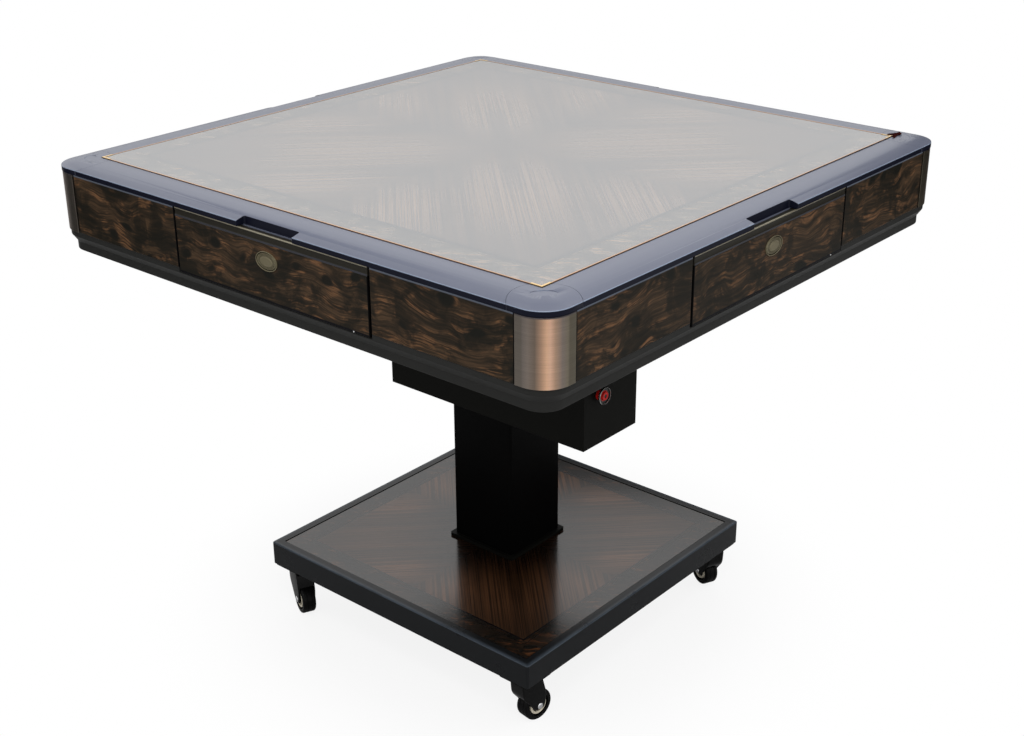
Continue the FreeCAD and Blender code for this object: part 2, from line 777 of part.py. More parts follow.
def make_turntable():
    floor = deck_top + turntable_lift
    hub_bottom = deck_top + spindle_flange_thickness + hub_gap
    disc = fused([cylinder(turntable_radius, floor, floor + turntable_floor),
                  tube(turntable_radius, turntable_radius - turntable_rim_wall,
                       floor, floor + turntable_rim_height),
                  cylinder(hub_radius, hub_bottom, floor + turntable_floor)])
    save("turntable", disc.cut(cylinder(spindle_radius + running_gap, hub_bottom, floor + turntable_floor)))
    place = (turntable_radius + drive_wheel_radius + drive_gap) * math.sqrt(0.5)
    motor_top = deck_top + motor_height
    motor = cylinder(motor_radius, deck_top, motor_top, place, place)
    bore_bottom = motor_top - motor_bore_depth
    motor = motor.cut(cylinder(shaft_radius + running_gap, bore_bottom, motor_top, place, place))
    save("shuffle_motor", motor)
    wheel_bottom = floor + drive_wheel_lift
    wheel_top = wheel_bottom + drive_wheel_thickness
    save("drive_wheel", fused([
        cylinder(drive_wheel_radius, wheel_bottom, wheel_top, place, place),
        cylinder(shaft_radius, bore_bottom + hub_gap, wheel_top, place, place),
        cylinder(drive_collar_radius, motor_top + drive_collar_gap, wheel_bottom, place, place)]))


# Housing box under the top with its power supply, inlet and push switch
def inlet_block(x0, x1, margin):
    """A block on the inlet's axis, its sides out from the inlet's body by the margin."""
    y_half = inlet_width / 2 + margin
    z_half = inlet_height / 2 + margin
    return box(x0, x1, inlet_y - y_half, inlet_y + y_half, inlet_z - z_half, inlet_z + z_half)


def make_housing():
    x0 = housing_x0
    wall = housing_wall
    bottom = underside - housing_height
    shell = box(x0, housing_end, housing_y0, housing_y1, bottom, underside)
    shell = shell.cut(box(x0 + wall, housing_end - wall, housing_y0 + wall, housing_y1 - wall,
                          bottom + wall, underside))
    hole = on_switch_axis(collar_radius + switch_hole_gap, housing_end - wall - cut_over,
                          housing_end + cut_over)
    save("housing_box", shell.cut(hole).cut(inlet_block(x0 - cut_over, x0 + wall + cut_over, inlet_gap)))

    outer_face = x0 - inlet_flange_thickness
    body = inlet_block(x0, x0 + inlet_depth, 0)
    flange = inlet_block(outer_face, x0, inlet_flange)
    socket = inlet_block(outer_face, x0 + inlet_depth - inlet_back_wall, -inlet_wall)
    save("power_inlet", fused([body, flange]).cut(socket))

    supply = block(supply_length / 2, supply_width / 2, supply_corner, bottom + wall,
                   bottom + wall + supply_height)
    save("power_supply", moved(supply, (x0 + housing_end) / 2, inlet_y, 0))


def on_switch_axis(radius, x0, x1):
    return Part.makeCylinder(radius, x1 - x0, Vec(x0, switch_y, switch_z), Vec(1, 0, 0))


def make_switch():
    outer_face = housing_end + collar_out
    inner_end = housing_end - collar_in
    nut_end = housing_end - housing_wall
    collar = fused([on_switch_axis(collar_radius, inner_end, outer_face),
                    on_switch_axis(collar_nut_radius, nut_end - collar_nut_thickness, nut_end)])
    save("switch_collar", collar.cut(on_switch_axis(button_radius + running_gap, inner_end, outer_face)))
    rim_end = outer_face + bezel_height - bezel_base
    bezel = on_switch_axis(bezel_radius, outer_face - bezel_base, rim_end)
    bezel = bezel.cut(on_switch_axis(bezel_radius - bezel_rim, outer_face, rim_end))
    save("switch_bezel", bezel.cut(on_switch_axis(collar_radius, outer_face - bezel_base, outer_face)))
    face = outer_face + button_out
    button = on_switch_axis(button_radius, inner_end + button_travel + button_room, face)
    save("switch_button", button.cut(on_switch_axis(button_dimple, face - button_dimple_depth, face)))


make_screws()
make_base()
make_casters()
make_column()
make_skirt()
make_frame()
make_sides()
make_rails()
make_cover()
make_drawers()
make_play_surface()
make_control_disc()
make_lifters()
make_deck()
make_turntable()
make_housing()
make_switch()
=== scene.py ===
import json
import math
from functools import partial
import bmesh
import bpy
from mathutils import Matrix, Vector


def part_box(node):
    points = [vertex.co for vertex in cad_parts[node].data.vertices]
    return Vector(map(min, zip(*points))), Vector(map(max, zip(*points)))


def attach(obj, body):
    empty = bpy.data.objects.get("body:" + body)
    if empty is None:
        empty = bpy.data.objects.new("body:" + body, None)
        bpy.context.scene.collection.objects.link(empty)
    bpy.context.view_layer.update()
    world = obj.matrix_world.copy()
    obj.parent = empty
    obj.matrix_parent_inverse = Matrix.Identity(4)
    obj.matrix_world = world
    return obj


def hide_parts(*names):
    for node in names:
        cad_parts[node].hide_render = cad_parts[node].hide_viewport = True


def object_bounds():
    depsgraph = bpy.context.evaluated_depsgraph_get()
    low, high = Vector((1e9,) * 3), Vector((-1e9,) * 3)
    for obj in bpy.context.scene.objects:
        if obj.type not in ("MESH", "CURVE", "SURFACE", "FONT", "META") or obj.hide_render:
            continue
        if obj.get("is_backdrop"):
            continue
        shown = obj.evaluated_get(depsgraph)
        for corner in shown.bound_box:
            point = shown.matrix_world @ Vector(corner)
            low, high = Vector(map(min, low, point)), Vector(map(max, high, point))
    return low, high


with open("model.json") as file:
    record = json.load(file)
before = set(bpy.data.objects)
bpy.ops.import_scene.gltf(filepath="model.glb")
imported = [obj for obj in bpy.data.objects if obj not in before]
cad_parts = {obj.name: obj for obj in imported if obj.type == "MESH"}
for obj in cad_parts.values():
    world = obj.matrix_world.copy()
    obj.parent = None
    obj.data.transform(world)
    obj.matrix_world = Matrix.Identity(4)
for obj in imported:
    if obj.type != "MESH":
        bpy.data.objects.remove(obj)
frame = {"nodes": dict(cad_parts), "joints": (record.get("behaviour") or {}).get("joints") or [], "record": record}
cadLow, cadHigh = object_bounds()
nodes = frame["nodes"]
joints = {j["name"]: j for j in frame["joints"]}
bodyOf = {n: body for body, members in frame["record"]["behaviour"]["bodies"].items() for n in members}
slotOf = {s["node"]: s["material_slot"] for s in frame["record"]["subparts"]}
scene = bpy.context.scene
sideTurns = {"front": 0, "right": 90, "back": 180, "left": 270}  # degrees that bring the front side there
casterNames = ["front_right", "front_left", "back_right", "back_left"]
mm = 0.001


def addObject(name, data):
    made = bpy.data.objects.new(name, data)
    scene.collection.objects.link(made)
    return made


def turned(degrees, axis="Z"):
    return Matrix.Rotation(math.radians(degrees), 4, axis)


# nodes of shader and geometry trees

def addNode(tree, kind, inputs=None, **settings):
    # "Math" is short for "ShaderNodeMath"; the names of other families are given in full
    made = tree.nodes.new(kind if "Node" in kind else "ShaderNode" + kind)
    for key, value in settings.items():
        setattr(made, key, value)
    for key, value in (inputs or {}).items():
        if isinstance(value, bpy.types.NodeSocket):
            tree.links.new(value, made.inputs[key])
        else:
            made.inputs[key].default_value = value
    return made


def firstOf(tree, kind, inputs=None, **settings):
    return addNode(tree, kind, inputs, **settings).outputs[0]


def maths(tree, operation, a, b=0.0, c=0.0):
    return firstOf(tree, "Math", {0: a, 1: b, 2: c}, operation=operation)


def operations(tree, *names):
    # Math nodes of one tree as plain functions
    return [partial(maths, tree, name) for name in names]


def weighted(tree, value, share):
    # a mask that darkens only by its share
    return maths(tree, "MULTIPLY_ADD", value, share, 1 - share)


def mixed(tree, factor, a, b, blend="MIX"):
    return addNode(tree, "Mix", {0: factor, 6: a, 7: b}, data_type="RGBA", blend_type=blend).outputs[2]


def blended(tree, factor, a, b):
    return firstOf(tree, "Mix", {0: factor, 2: a, 3: b}, data_type="FLOAT")


def spread(tree, value, low, high, toLow=0.0, toHigh=1.0, smooth=True):
    return firstOf(tree, "MapRange", {0: value, 1: low, 2: high, 3: toLow, 4: toHigh},
                   interpolation_type="SMOOTHSTEP" if smooth else "LINEAR")


def noise(tree, vector, scale, detail=3.0, roughness=0.5, distortion=0.0, output=0):
    return addNode(tree, "TexNoise", {"Vector": vector, "Scale": scale, "Detail": detail, "Roughness": roughness,
                   "Distortion": distortion}).outputs[output]


def stretched(tree, vector, scale=(1, 1, 1), turn=(0, 0, 0), place=(0, 0, 0)):
    return firstOf(tree, "Mapping", {"Vector": vector, "Scale": scale, "Rotation": turn, "Location": place})


def bumped(tree, height, strength, distance, normal=None):
    inputs = {"Height": height, "Strength": strength, "Distance": distance}
    if normal is not None:
        inputs["Normal"] = normal
    return firstOf(tree, "Bump", inputs)


def axesOf(tree, vector):
    return addNode(tree, "SeparateXYZ", {0: vector}).outputs


def vectorOf(tree, x=0.0, y=0.0, z=0.0):
    return firstOf(tree, "CombineXYZ", {0: x, 1: y, 2: z})


def vectorMaths(tree, operation, inputs):
    return firstOf(tree, "VectorMath", inputs, operation=operation)


def newTree(name, kind, inputs, outputs):
    tree = bpy.data.node_groups.new(name, kind)
    for way, sockets in (("INPUT", inputs), ("OUTPUT", outputs)):
        for label, socketKind, *value in sockets:
            socket = tree.interface.new_socket(label, in_out=way, socket_type="NodeSocket" + socketKind)
            if value:
                socket.default_value = value[0]
    return tree, tree.nodes.new("NodeGroupInput").outputs, tree.nodes.new("NodeGroupOutput").inputs


def handOut(tree, targets, values):
    for label, value in values.items():
        tree.links.new(value, targets[label])


def emptyMaterial(name):
    mat = bpy.data.materials.new(name)
    mat.use_nodes = True
    mat.node_tree.nodes.clear()
    return mat, mat.node_tree


# camera, lamps, floor

cameraValues = {"place": (1.4321, -1.6501, 1.3840), "yaw": 40.71, "pitch": 23.89, "roll": -0.37, "lens": 53.65,
                "sensor": 36}


def makeCamera(v):
    data = bpy.data.cameras.new("tableCamera")
    data.sensor_width = v["sensor"]
    data.lens = v["lens"]
    cam = addObject("tableCamera", data)
    turn = turned(v["yaw"]) @ turned(90 - v["pitch"], "X") @ turned(v["roll"])
    cam.matrix_world = Matrix.Translation(v["place"]) @ turn
    scene.camera = cam


lampValues = {
    "sky": 0.43,             # what lights diffuse surfaces from all round
    "lift": 2.05, "reach": 4.6, "size": (6.2, 2.6), "aim": (0, 0, 0.7),
    "sidePanels": ((130.7, 0.7), (220.7, 1.0), (310.7, 1.5)),  # turn about the table, brightness
    # the back panel brightens upwards
    "backTurn": 40.7, "backSteps": 10, "backBottom": 1.45, "backTop": 3.85, "backLow": 0.08, "backHigh": 1.95,
    "topSize": 3.0, "topLift": 4.2, "topBrightness": 0.8,
    "keySize": 1.2, "keyPlace": (0.90, -1.05, 2.5), "keyAim": (0.2, -0.2, 0.77), "keyBrightness": 6.0,
}


def addLamp(name, size, brightness, place, target, mirrored=True):
    data = bpy.data.lights.new(name, "AREA")
    data.shape = "RECTANGLE"
    data.size, data.size_y = size
    data.energy = brightness * math.pi * size[0] * size[1]  # a lamp's radiance is its power over pi and its area
    lamp = addObject(name, data)
    lamp.visible_glossy = mirrored
    lamp.location = place
    lamp.rotation_mode = "QUATERNION"
    lamp.rotation_quaternion = (Vector(place) - Vector(target)).to_track_quat("Z", "Y")


def makeLamps(v):
    world = bpy.data.worlds.new("studioSky")
    scene.world = world
    world.use_nodes = True
    tree = world.node_tree
    tree.nodes.clear()
    path = addNode(tree, "LightPath").outputs
    seen = maths(tree, "MAXIMUM", path["Is Glossy Ray"], path["Is Transmission Ray"])
    seen = maths(tree, "MAXIMUM", path["Is Camera Ray"], seen)
    strength = spread(tree, seen, 0, 1, v["sky"], 1.0, smooth=False)
    sky = firstOf(tree, "Background", {"Color": (1, 1, 1, 1), "Strength": strength})
    addNode(tree, "OutputWorld", {"Surface": sky})
    for turn, brightness in v["sidePanels"]:  # soft panels round the table, which shiny surfaces don't mirror
        place = turned(turn) @ Vector((0, v["reach"], v["lift"]))
        addLamp("panel", v["size"], brightness, place, v["aim"], mirrored=False)
    strip = (v["backTop"] - v["backBottom"]) / v["backSteps"]
    for step in range(v["backSteps"]):
        height = v["backBottom"] + strip * (step + 0.5)
        brightness = v["backLow"] + step / (v["backSteps"] - 1) * (v["backHigh"] - v["backLow"])
        place = turned(v["backTurn"]) @ Vector((0, v["reach"], height))
        addLamp("backStrip", (v["size"][0], strip), brightness, place, (0, 0, height))
    addLamp("topPanel", (v["topSize"], v["topSize"]), v["topBrightness"], (0, 0, v["topLift"]), (0, 0, 0))
    addLamp("keyPanel", (v["keySize"], v["keySize"]), v["keyBrightness"], v["keyPlace"], v["keyAim"])


def addStageMesh(name, corners, mat):
    mesh = bpy.data.meshes.new(name)
    mesh.from_pydata(corners, [], [(0, 1, 2, 3)])
    mesh.materials.append(mat)
    return addObject(name, mesh)


floorValues = {"size": 60.0, "colour": (0.94, 0.94, 0.945, 1), "mirrored": (0.55, 0.55, 0.55, 1),
               "fadeStart": 0.30, "fadeEnd": 0.62, "glow": 0.86}


def makeFloor(v):
    mat, tree = emptyMaterial("floorPaper")
    path = addNode(tree, "LightPath").outputs
    # the paper is greyer in what shiny faces mirror
    shade = mixed(tree, path["Is Glossy Ray"], v["colour"], v["mirrored"])
    paper = firstOf(tree, "BsdfDiffuse", {"Color": shade})
    white = firstOf(tree, "Emission", {"Color": (1, 1, 1, 1), "Strength": 1.0})
    # the camera sees plain white away from the table and a part of the shadow under it
    spot = addNode(tree, "TexCoord").outputs["Object"]
    reach = addNode(tree, "VectorMath", {0: spot}, operation="LENGTH").outputs["Value"]
    fade = spread(tree, reach, v["fadeStart"], v["fadeEnd"], v["glow"], 1.0)
    fade = maths(tree, "MULTIPLY", fade, path["Is Camera Ray"])
    addNode(tree, "OutputMaterial", {"Surface": firstOf(tree, "MixShader", {0: fade, 1: paper, 2: white})})
    h = v["size"] / 2
    floor = addStageMesh("floor", [(-h, -h, 0), (h, -h, 0), (h, h, 0), (-h, h, 0)], mat)
    floor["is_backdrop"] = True


# black cards that only reflections see: turn about the table, reach, left, right, low, high
flagValues = {
    "behind": (40.7, 1.2, -0.06, 1.2, 0.0, 0.70), "beside": (0.0, 1.3, 0.08, 1.6, 0.28, 1.8),
    "left": (90.0, 0.9, -1.05, -0.55, 0.25, 0.85),
}


def makeFlags(v):
    mat, tree = emptyMaterial("flagCard")
    card = firstOf(tree, "BsdfDiffuse", {"Color": (0.02, 0.02, 0.02, 1)})
    glossy = addNode(tree, "LightPath").outputs["Is Glossy Ray"]
    both = firstOf(tree, "MixShader", {0: glossy, 1: firstOf(tree, "BsdfTransparent"), 2: card})
    addNode(tree, "OutputMaterial", {"Surface": both})
    for name, (turn, reach, left, right, low, high) in v.items():
        corners = [(left, reach, low), (right, reach, low), (right, reach, high), (left, reach, high)]
        flag = addStageMesh("flag_" + name, [turned(turn) @ Vector(c) for c in corners], mat)
        flag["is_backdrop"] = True


makeCamera(cameraValues)
makeLamps(lampValues)
makeFloor(floorValues)
makeFlags(flagValues)
scene.view_settings.view_transform = "Standard"
print("camera, lamps and floor are set")


# shared effects, as node groups that put out colours, masks and heights

handledValues = {
    # noises are given as detail, roughness and distortion
    "cloud": (4, 0.55), "scuff": (5, 0.7, 0.6), "scuffTurn": (0.4, 0.7, 0.3), "scuffScale": 7.0,
    "scuffRange": (0.56, 0.78), "scuffShare": 0.4, "grainDetail": 2,
}


def makeHandledGroup(v):
    # cloudy sheen changes, fine specks and faint scuffs of a surface that people touch
    group, given, result = newTree("handledSurface", "ShaderNodeTree", [
        ("Vector", "Vector"), ("Roughness", "Float", 0.4), ("Variation", "Float", 0.08),
        ("Cloud Scale", "Float", 9.0), ("Grain Scale", "Float", 900.0)],
        [("Roughness", "Float"), ("Cloud", "Float"), ("Grain", "Float")])
    times, plus, timesPlus = operations(group, "MULTIPLY", "ADD", "MULTIPLY_ADD")
    vector, scale = given["Vector"], given["Cloud Scale"]
    cloud = noise(group, vector, scale, *v["cloud"])
    scuff = noise(group, stretched(group, vector, turn=v["scuffTurn"]), times(scale, v["scuffScale"]), *v["scuff"])
    scuff = times(spread(group, scuff, *v["scuffRange"]), v["scuffShare"])
    both = plus(plus(cloud, -0.5), scuff)  # the cloud's mean is taken off
    handOut(group, result, {"Roughness": timesPlus(both, given["Variation"], given["Roughness"]), "Cloud": cloud,
                            "Grain": noise(group, vector, given["Grain Scale"], v["grainDetail"])})
    return group


burlFigure = {
    "bendScale": 9.0, "bendDetail": 2, "bendReach": (0.085, 0.085, 0.060),
    "eyeScale": 16.0, "eyeScatter": 0.9, "eyeHeight": 1.7, "eyeShare": 0.45,
    "eyeRange": (0.42, 0.10), "eyePull": 0.82,
    # how fast each set of lines changes along the grain, its share of the grain, its roughness, and where its
    # noise turns dark and light
    "fine": (15.0, 1.0, 0.7, 0.40, 0.60), "wide": (8.0, 0.25, 0.55, 0.40, 0.58),
    "flame": (24.0, 0.22, 0.6, 0.49, 0.66), "lineDetail": 3,
    "fineShare": 0.62, "wideShare": 0.6, "patchShare": 0.75,
    "patchHeight": 1.4, "patch": (15.0, 4, 0.65, 0.4), "patchRange": (0.42, 0.57),
    "calmRange": (0.35, 0.95, 1.0, 0.05),
}


def makeBurlGroup(v):
    # dark burl: fine grain that runs along the piece and flows round eyes, with brown and flame-coloured patches
    group, given, result = newTree("burlFigure", "ShaderNodeTree", [
        ("Vector", "Vector"), ("Scale", "Float", 1.0), ("Dark", "Color", (0.012, 0.011, 0.009, 1)),
        ("Brown", "Color", (0.045, 0.027, 0.016, 1)), ("Flame", "Color", (0.16, 0.07, 0.028, 1)),
        ("Grain", "Float", 330.0)],
        [("Color", "Color"), ("Figure", "Float")])
    times, plus, over, above = operations(group, "MULTIPLY", "ADD", "DIVIDE", "GREATER_THAN")
    place = vectorMaths(group, "SCALE", {0: given["Vector"], 3: given["Scale"]})
    bend = noise(group, place, v["bendScale"], v["bendDetail"], output=1)
    bend = vectorMaths(group, "SUBTRACT", {0: bend, 1: (0.5, 0.5, 0.5)})
    warped = vectorMaths(group, "MULTIPLY_ADD", {0: bend, 1: v["bendReach"], 2: place})
    cell = addNode(group, "TexVoronoi", {"Vector": stretched(group, warped, (1, 1, v["eyeHeight"])),
                   "Scale": v["eyeScale"], "Randomness": v["eyeScatter"]}, feature="F1").outputs
    chosen = above(axesOf(group, cell["Color"])[0], v["eyeShare"])
    eye = times(spread(group, cell["Distance"], *v["eyeRange"]), chosen)
    axes = axesOf(group, warped)
    middle = over(axesOf(group, cell["Position"])[2], v["eyeHeight"])
    # grain lines part round an eye: their height is drawn towards the eye's own height
    height = blended(group, times(eye, v["eyePull"]), axes[2], middle)

    def lines(along, share, roughness, low, high):
        across = given["Grain"] if share == 1.0 else times(given["Grain"], share)
        spot = vectorOf(group, times(axes[0], along), times(axes[1], along), times(height, across))
        return spread(group, noise(group, spot, 1.0, v["lineDetail"], roughness), low, high)

    fine, wide, flame = (lines(*v[name]) for name in ("fine", "wide", "flame"))
    patch = noise(group, stretched(group, warped, (1, 1, v["patchHeight"])), *v["patch"])
    patch = spread(group, patch, *v["patchRange"])
    calm = spread(group, eye, *v["calmRange"])
    brown = times(weighted(group, fine, v["fineShare"]), weighted(group, wide, v["wideShare"]))
    brown = times(times(brown, calm), weighted(group, patch, v["patchShare"]))
    glow = times(times(flame, patch), times(calm, fine))
    colour = mixed(group, brown, given["Dark"], given["Brown"])
    handOut(group, result, {"Color": mixed(group, glow, colour, given["Flame"]), "Figure": plus(brown, glow)})
    return group


stripeFigure = {
    # how fast each set of lines changes along the grain, its detail, and where its noise turns dark and light
    "fine": (0.006, 2, 0.40, 0.58), "wide": (0.02, 2, 0.38, 0.62), "cloud": (0.5, 3, 0.30, 0.58),
    "roughness": 0.6, "wideScale": 0.18, "cloudScale": 12.0,
    "fineShare": 0.70, "wideShare": 0.25, "cloudShare": 0.5, "glowShare": 0.76,
    # middle and reach of each light patch, along and across, as shares of the diagonal
    "inner": ((0.44, 0.50), (0.0, 0.30)), "outer": ((0.54, 0.32), (0.29, 0.20)),
    "leafStep": 2.3, "quarterStep": 0.31,
}


def makeStripeGroup(v):
    # straight-grained veneer in four quarters, each book-matched about its own diagonal in three leaves
    group, given, result = newTree("stripedQuarters", "ShaderNodeTree", [
        ("Vector", "Vector"), ("Dark", "Color", (0.03, 0.018, 0.012, 1)),
        ("Light", "Color", (0.17, 0.075, 0.04, 1)),
        ("Stripe", "Float", 330.0), ("Field", "Float", 0.366), ("Leaf", "Float", 0.2)],
        [("Color", "Color"), ("Figure", "Float")])
    times, plus, minus, over, timesPlus, above, size, sign = operations(
        group, "MULTIPLY", "ADD", "SUBTRACT", "DIVIDE", "MULTIPLY_ADD", "GREATER_THAN", "ABSOLUTE", "SIGN")
    axes = axesOf(group, given["Vector"])
    ax, ay = size(axes[0]), size(axes[1])
    diagonal = times(given["Field"], math.sqrt(2))
    across = size(times(minus(ax, ay), math.sqrt(0.5)))
    along = times(plus(ax, ay), math.sqrt(0.5))
    acrossShare, alongShare = over(across, diagonal), over(along, diagonal)
    side = above(acrossShare, given["Leaf"])
    leaf = timesPlus(side, v["leafStep"], times(sign(times(axes[0], axes[1])), v["quarterStep"]))

    def lines(scale, drift, detail, low, high):
        spot = vectorOf(group, across, times(along, drift), leaf)
        return spread(group, noise(group, spot, scale, detail, v["roughness"]), low, high)

    def lobes(alongLobe, acrossLobe):
        made = [spread(group, size(minus(share, middle)), reach, 0.0)
                for share, (middle, reach) in ((alongShare, alongLobe), (acrossShare, acrossLobe))]
        return times(*made)

    fine = lines(given["Stripe"], *v["fine"])
    wide = lines(times(given["Stripe"], v["wideScale"]), *v["wide"])
    cloud = lines(v["cloudScale"], *v["cloud"])
    glow = blended(group, side, lobes(*v["inner"]), lobes(*v["outer"]))
    glow = weighted(group, times(glow, weighted(group, cloud, v["cloudShare"])), v["glowShare"])
    figure = times(weighted(group, fine, v["fineShare"]), weighted(group, wide, v["wideShare"]))
    figure = times(figure, glow)
    handOut(group, result, {"Color": mixed(group, figure, given["Dark"], given["Light"]), "Figure": figure})
    return group


brushedValues = {"lines": (1.0, 4, 0.7), "bands": (0.12, 3, 0.6)}  # scale, detail and roughness of each noise


def makeBrushedGroup(v):
    # fine lines of brushed metal, drawn along X and Y round an upright surface
    group, given, result = newTree("brushedLines", "ShaderNodeTree", [
        ("Vector", "Vector"), ("Along", "Float", 14.0), ("Across", "Float", 2400.0)],
        [("Lines", "Float"), ("Bands", "Float")])
    axes = axesOf(group, given["Vector"])
    spot = vectorOf(group, *(maths(group, "MULTIPLY", axis, given[way])
                             for axis, way in zip(axes, ("Along", "Along", "Across"))))
    handOut(group, result, {"Lines": noise(group, spot, *v["lines"]), "Bands": noise(group, spot, *v["bands"])})
    return group


handledGroup = makeHandledGroup(handledValues)
burlGroup = makeBurlGroup(burlFigure)
stripeGroup = makeStripeGroup(stripeFigure)
brushedGroup = makeBrushedGroup(brushedValues)
print("shared effects:", len(bpy.data.node_groups))


# materials

plainIndex = 1.5  # of refraction, for lacquer, paint and plastic


def placeGroup(tree, group, inputs):
    return addNode(tree, "Group", inputs, node_tree=group).outputs


def newMaterial(name, constants):
    mat, tree = emptyMaterial(name)
    shader = addNode(tree, "BsdfPrincipled", {"IOR": plainIndex, **constants})
    addNode(tree, "OutputMaterial", {"Surface": shader.outputs[0]})
    return mat, tree, shader.inputs, addNode(tree, "TexCoord").outputs["Object"]


def farthest(tree, axes):
    # the larger of a place's distances from the two middle planes
    return maths(tree, "MAXIMUM", *[maths(tree, "ABSOLUTE", axes[i]) for i in (0, 1)])


def dimmed(tree, colour, shade):
    return mixed(tree, 1.0, colour, vectorOf(tree, shade, shade, shade), "MULTIPLY")


def handled(tree, place, v):
    keys = {"Roughness": "roughness", "Variation": "variation", "Cloud Scale": "cloud", "Grain Scale": "grain"}
    given = {label: v[key] for label, key in keys.items() if key in v}
    return placeGroup(tree, handledGroup, {"Vector": place, **given})


def finished(mat, surface, colour, roughness, normal):
    handOut(mat.node_tree, surface, {"Base Color": colour, "Roughness": roughness, "Normal": normal})
    return mat


plainFinish = {"metallic": 0.0, "sheen": 0.0, "shine": 0.5, "variation": 0.08, "cloud": 9.0, "grain": 900.0,
               "drift": 0.12, "bump": 0.15, "depth": 0.0002}


def makeFinish(name, own):
    # one-colour finishes: the colour drifts a little, the sheen is handled and the grain shows as bump
    v = {**plainFinish, **own}
    mat, tree, surface, place = newMaterial(name, {
        "Metallic": v["metallic"], "Sheen Weight": v["sheen"], "Specular IOR Level": v["shine"]})
    made = handled(tree, place, v)
    low, high = ([min(1, c * (1 + way * v["drift"])) for c in v["colour"]] + [1] for way in (-1, 1))
    return finished(mat, surface, mixed(tree, made["Cloud"], low, high), made["Roughness"],
                    bumped(tree, made["Grain"], v["bump"], v["depth"]))


veneerValues = {
    "shine": 0.03, "lineGap": 0.0075, "thinLine": 0.0006, "burlTurn": (1.2, 0.5, 0.3), "burlScale": 1.5,
    "roughness": 0.38, "variation": 0.1, "cloud": 4.0,
    "cloudBump": (0.03, 0.002), "figureBump": (0.05, 0.0002),  # strength, distance
}
coverColours = {"field": 0.366, "stripe": 420.0,
                "dark": (0.010, 0.013, 0.019, 1), "light": (0.150, 0.102, 0.074, 1),
                "burlDark": (0.010, 0.012, 0.016, 1), "burlBrown": (0.072, 0.060, 0.048, 1),
                "burlFlame": (0.17, 0.11, 0.07, 1), "coat": 1.0, "coatRoughness": 0.12, "coatIndex": 1.64,
                "line": 0.0042, "lineColour": (0.006, 0.009, 0.014, 1)}
# the foot board's middle, round the column, is painted darker: painted shade
footColours = {"field": 0.2225, "stripe": 560.0,
               "dark": (0.0042, 0.0034, 0.0026, 1), "light": (0.170, 0.072, 0.031, 1),
               "burlDark": (0.005, 0.0045, 0.0035, 1), "burlBrown": (0.022, 0.011, 0.006, 1),
               "burlFlame": (0.095, 0.036, 0.014, 1), "coat": 0.50, "coatRoughness": 0.16, "coatIndex": 1.6,
               "line": 0.0016, "lineColour": (0.004, 0.003, 0.003, 1), "hub": (0.07, 0.20), "hubShade": 0.15}


def makeVeneer(name, v, c):
    # striped quarters inside the field, a dark line and a thin one round it, and burl outside
    mat, tree, surface, place = newMaterial(name, {
        "Specular IOR Level": v["shine"], "Coat Weight": c["coat"], "Coat Roughness": c["coatRoughness"],
        "Coat IOR": c["coatIndex"]})
    stripes = placeGroup(tree, stripeGroup, {"Vector": place, "Dark": c["dark"], "Light": c["light"],
                         "Stripe": c["stripe"], "Field": c["field"]})
    burl = placeGroup(tree, burlGroup, {
        "Vector": stretched(tree, place, turn=v["burlTurn"]), "Scale": v["burlScale"],
        "Dark": c["burlDark"], "Brown": c["burlBrown"], "Flame": c["burlFlame"]})
    minus, size, below, above = operations(tree, "SUBTRACT", "ABSOLUTE", "LESS_THAN", "GREATER_THAN")
    reach = farthest(tree, axesOf(tree, place))
    line = below(size(minus(reach, c["field"])), c["line"])
    thin = below(size(minus(reach, c["field"] + v["lineGap"])), v["thinLine"])
    colour = mixed(tree, above(reach, c["field"]), stripes["Color"], burl["Color"])
    colour = mixed(tree, maths(tree, "MAXIMUM", line, thin), colour, c["lineColour"])
    # painted shade round the column's foot
    if "hub" in c:  # darker in the middle
        colour = dimmed(tree, colour, spread(tree, reach, *c["hub"], c["hubShade"], 1.0))
    made = handled(tree, place, v)
    figure = maths(tree, "ADD", stripes["Figure"], burl["Figure"])
    normal = bumped(tree, figure, *v["figureBump"], bumped(tree, made["Cloud"], *v["cloudBump"]))
    return finished(mat, surface, colour, made["Roughness"], normal)


burlValues = {
    "roughness": 0.33, "variation": 0.12, "shine": 0.05, "scale": 1.15, "bump": (0.12, 0.0003),
    "dark": (0.0085, 0.0085, 0.0068, 1), "brown": (0.059, 0.0355, 0.020, 1), "flame": (0.135, 0.067, 0.032, 1),
    # "edge" is the pale band of painted highlight along a panel's top
    "edge": (0.105, 0.122, 0.155, 1), "edgeHeight": 3.0, "edgeSolid": 0.4,
    "foot": (0.004, 0.004, 0.005, 1), "footHeight": 3.4, "end": (0.0025, 0.0025, 0.0025, 1), "endWidth": 1.1,
}


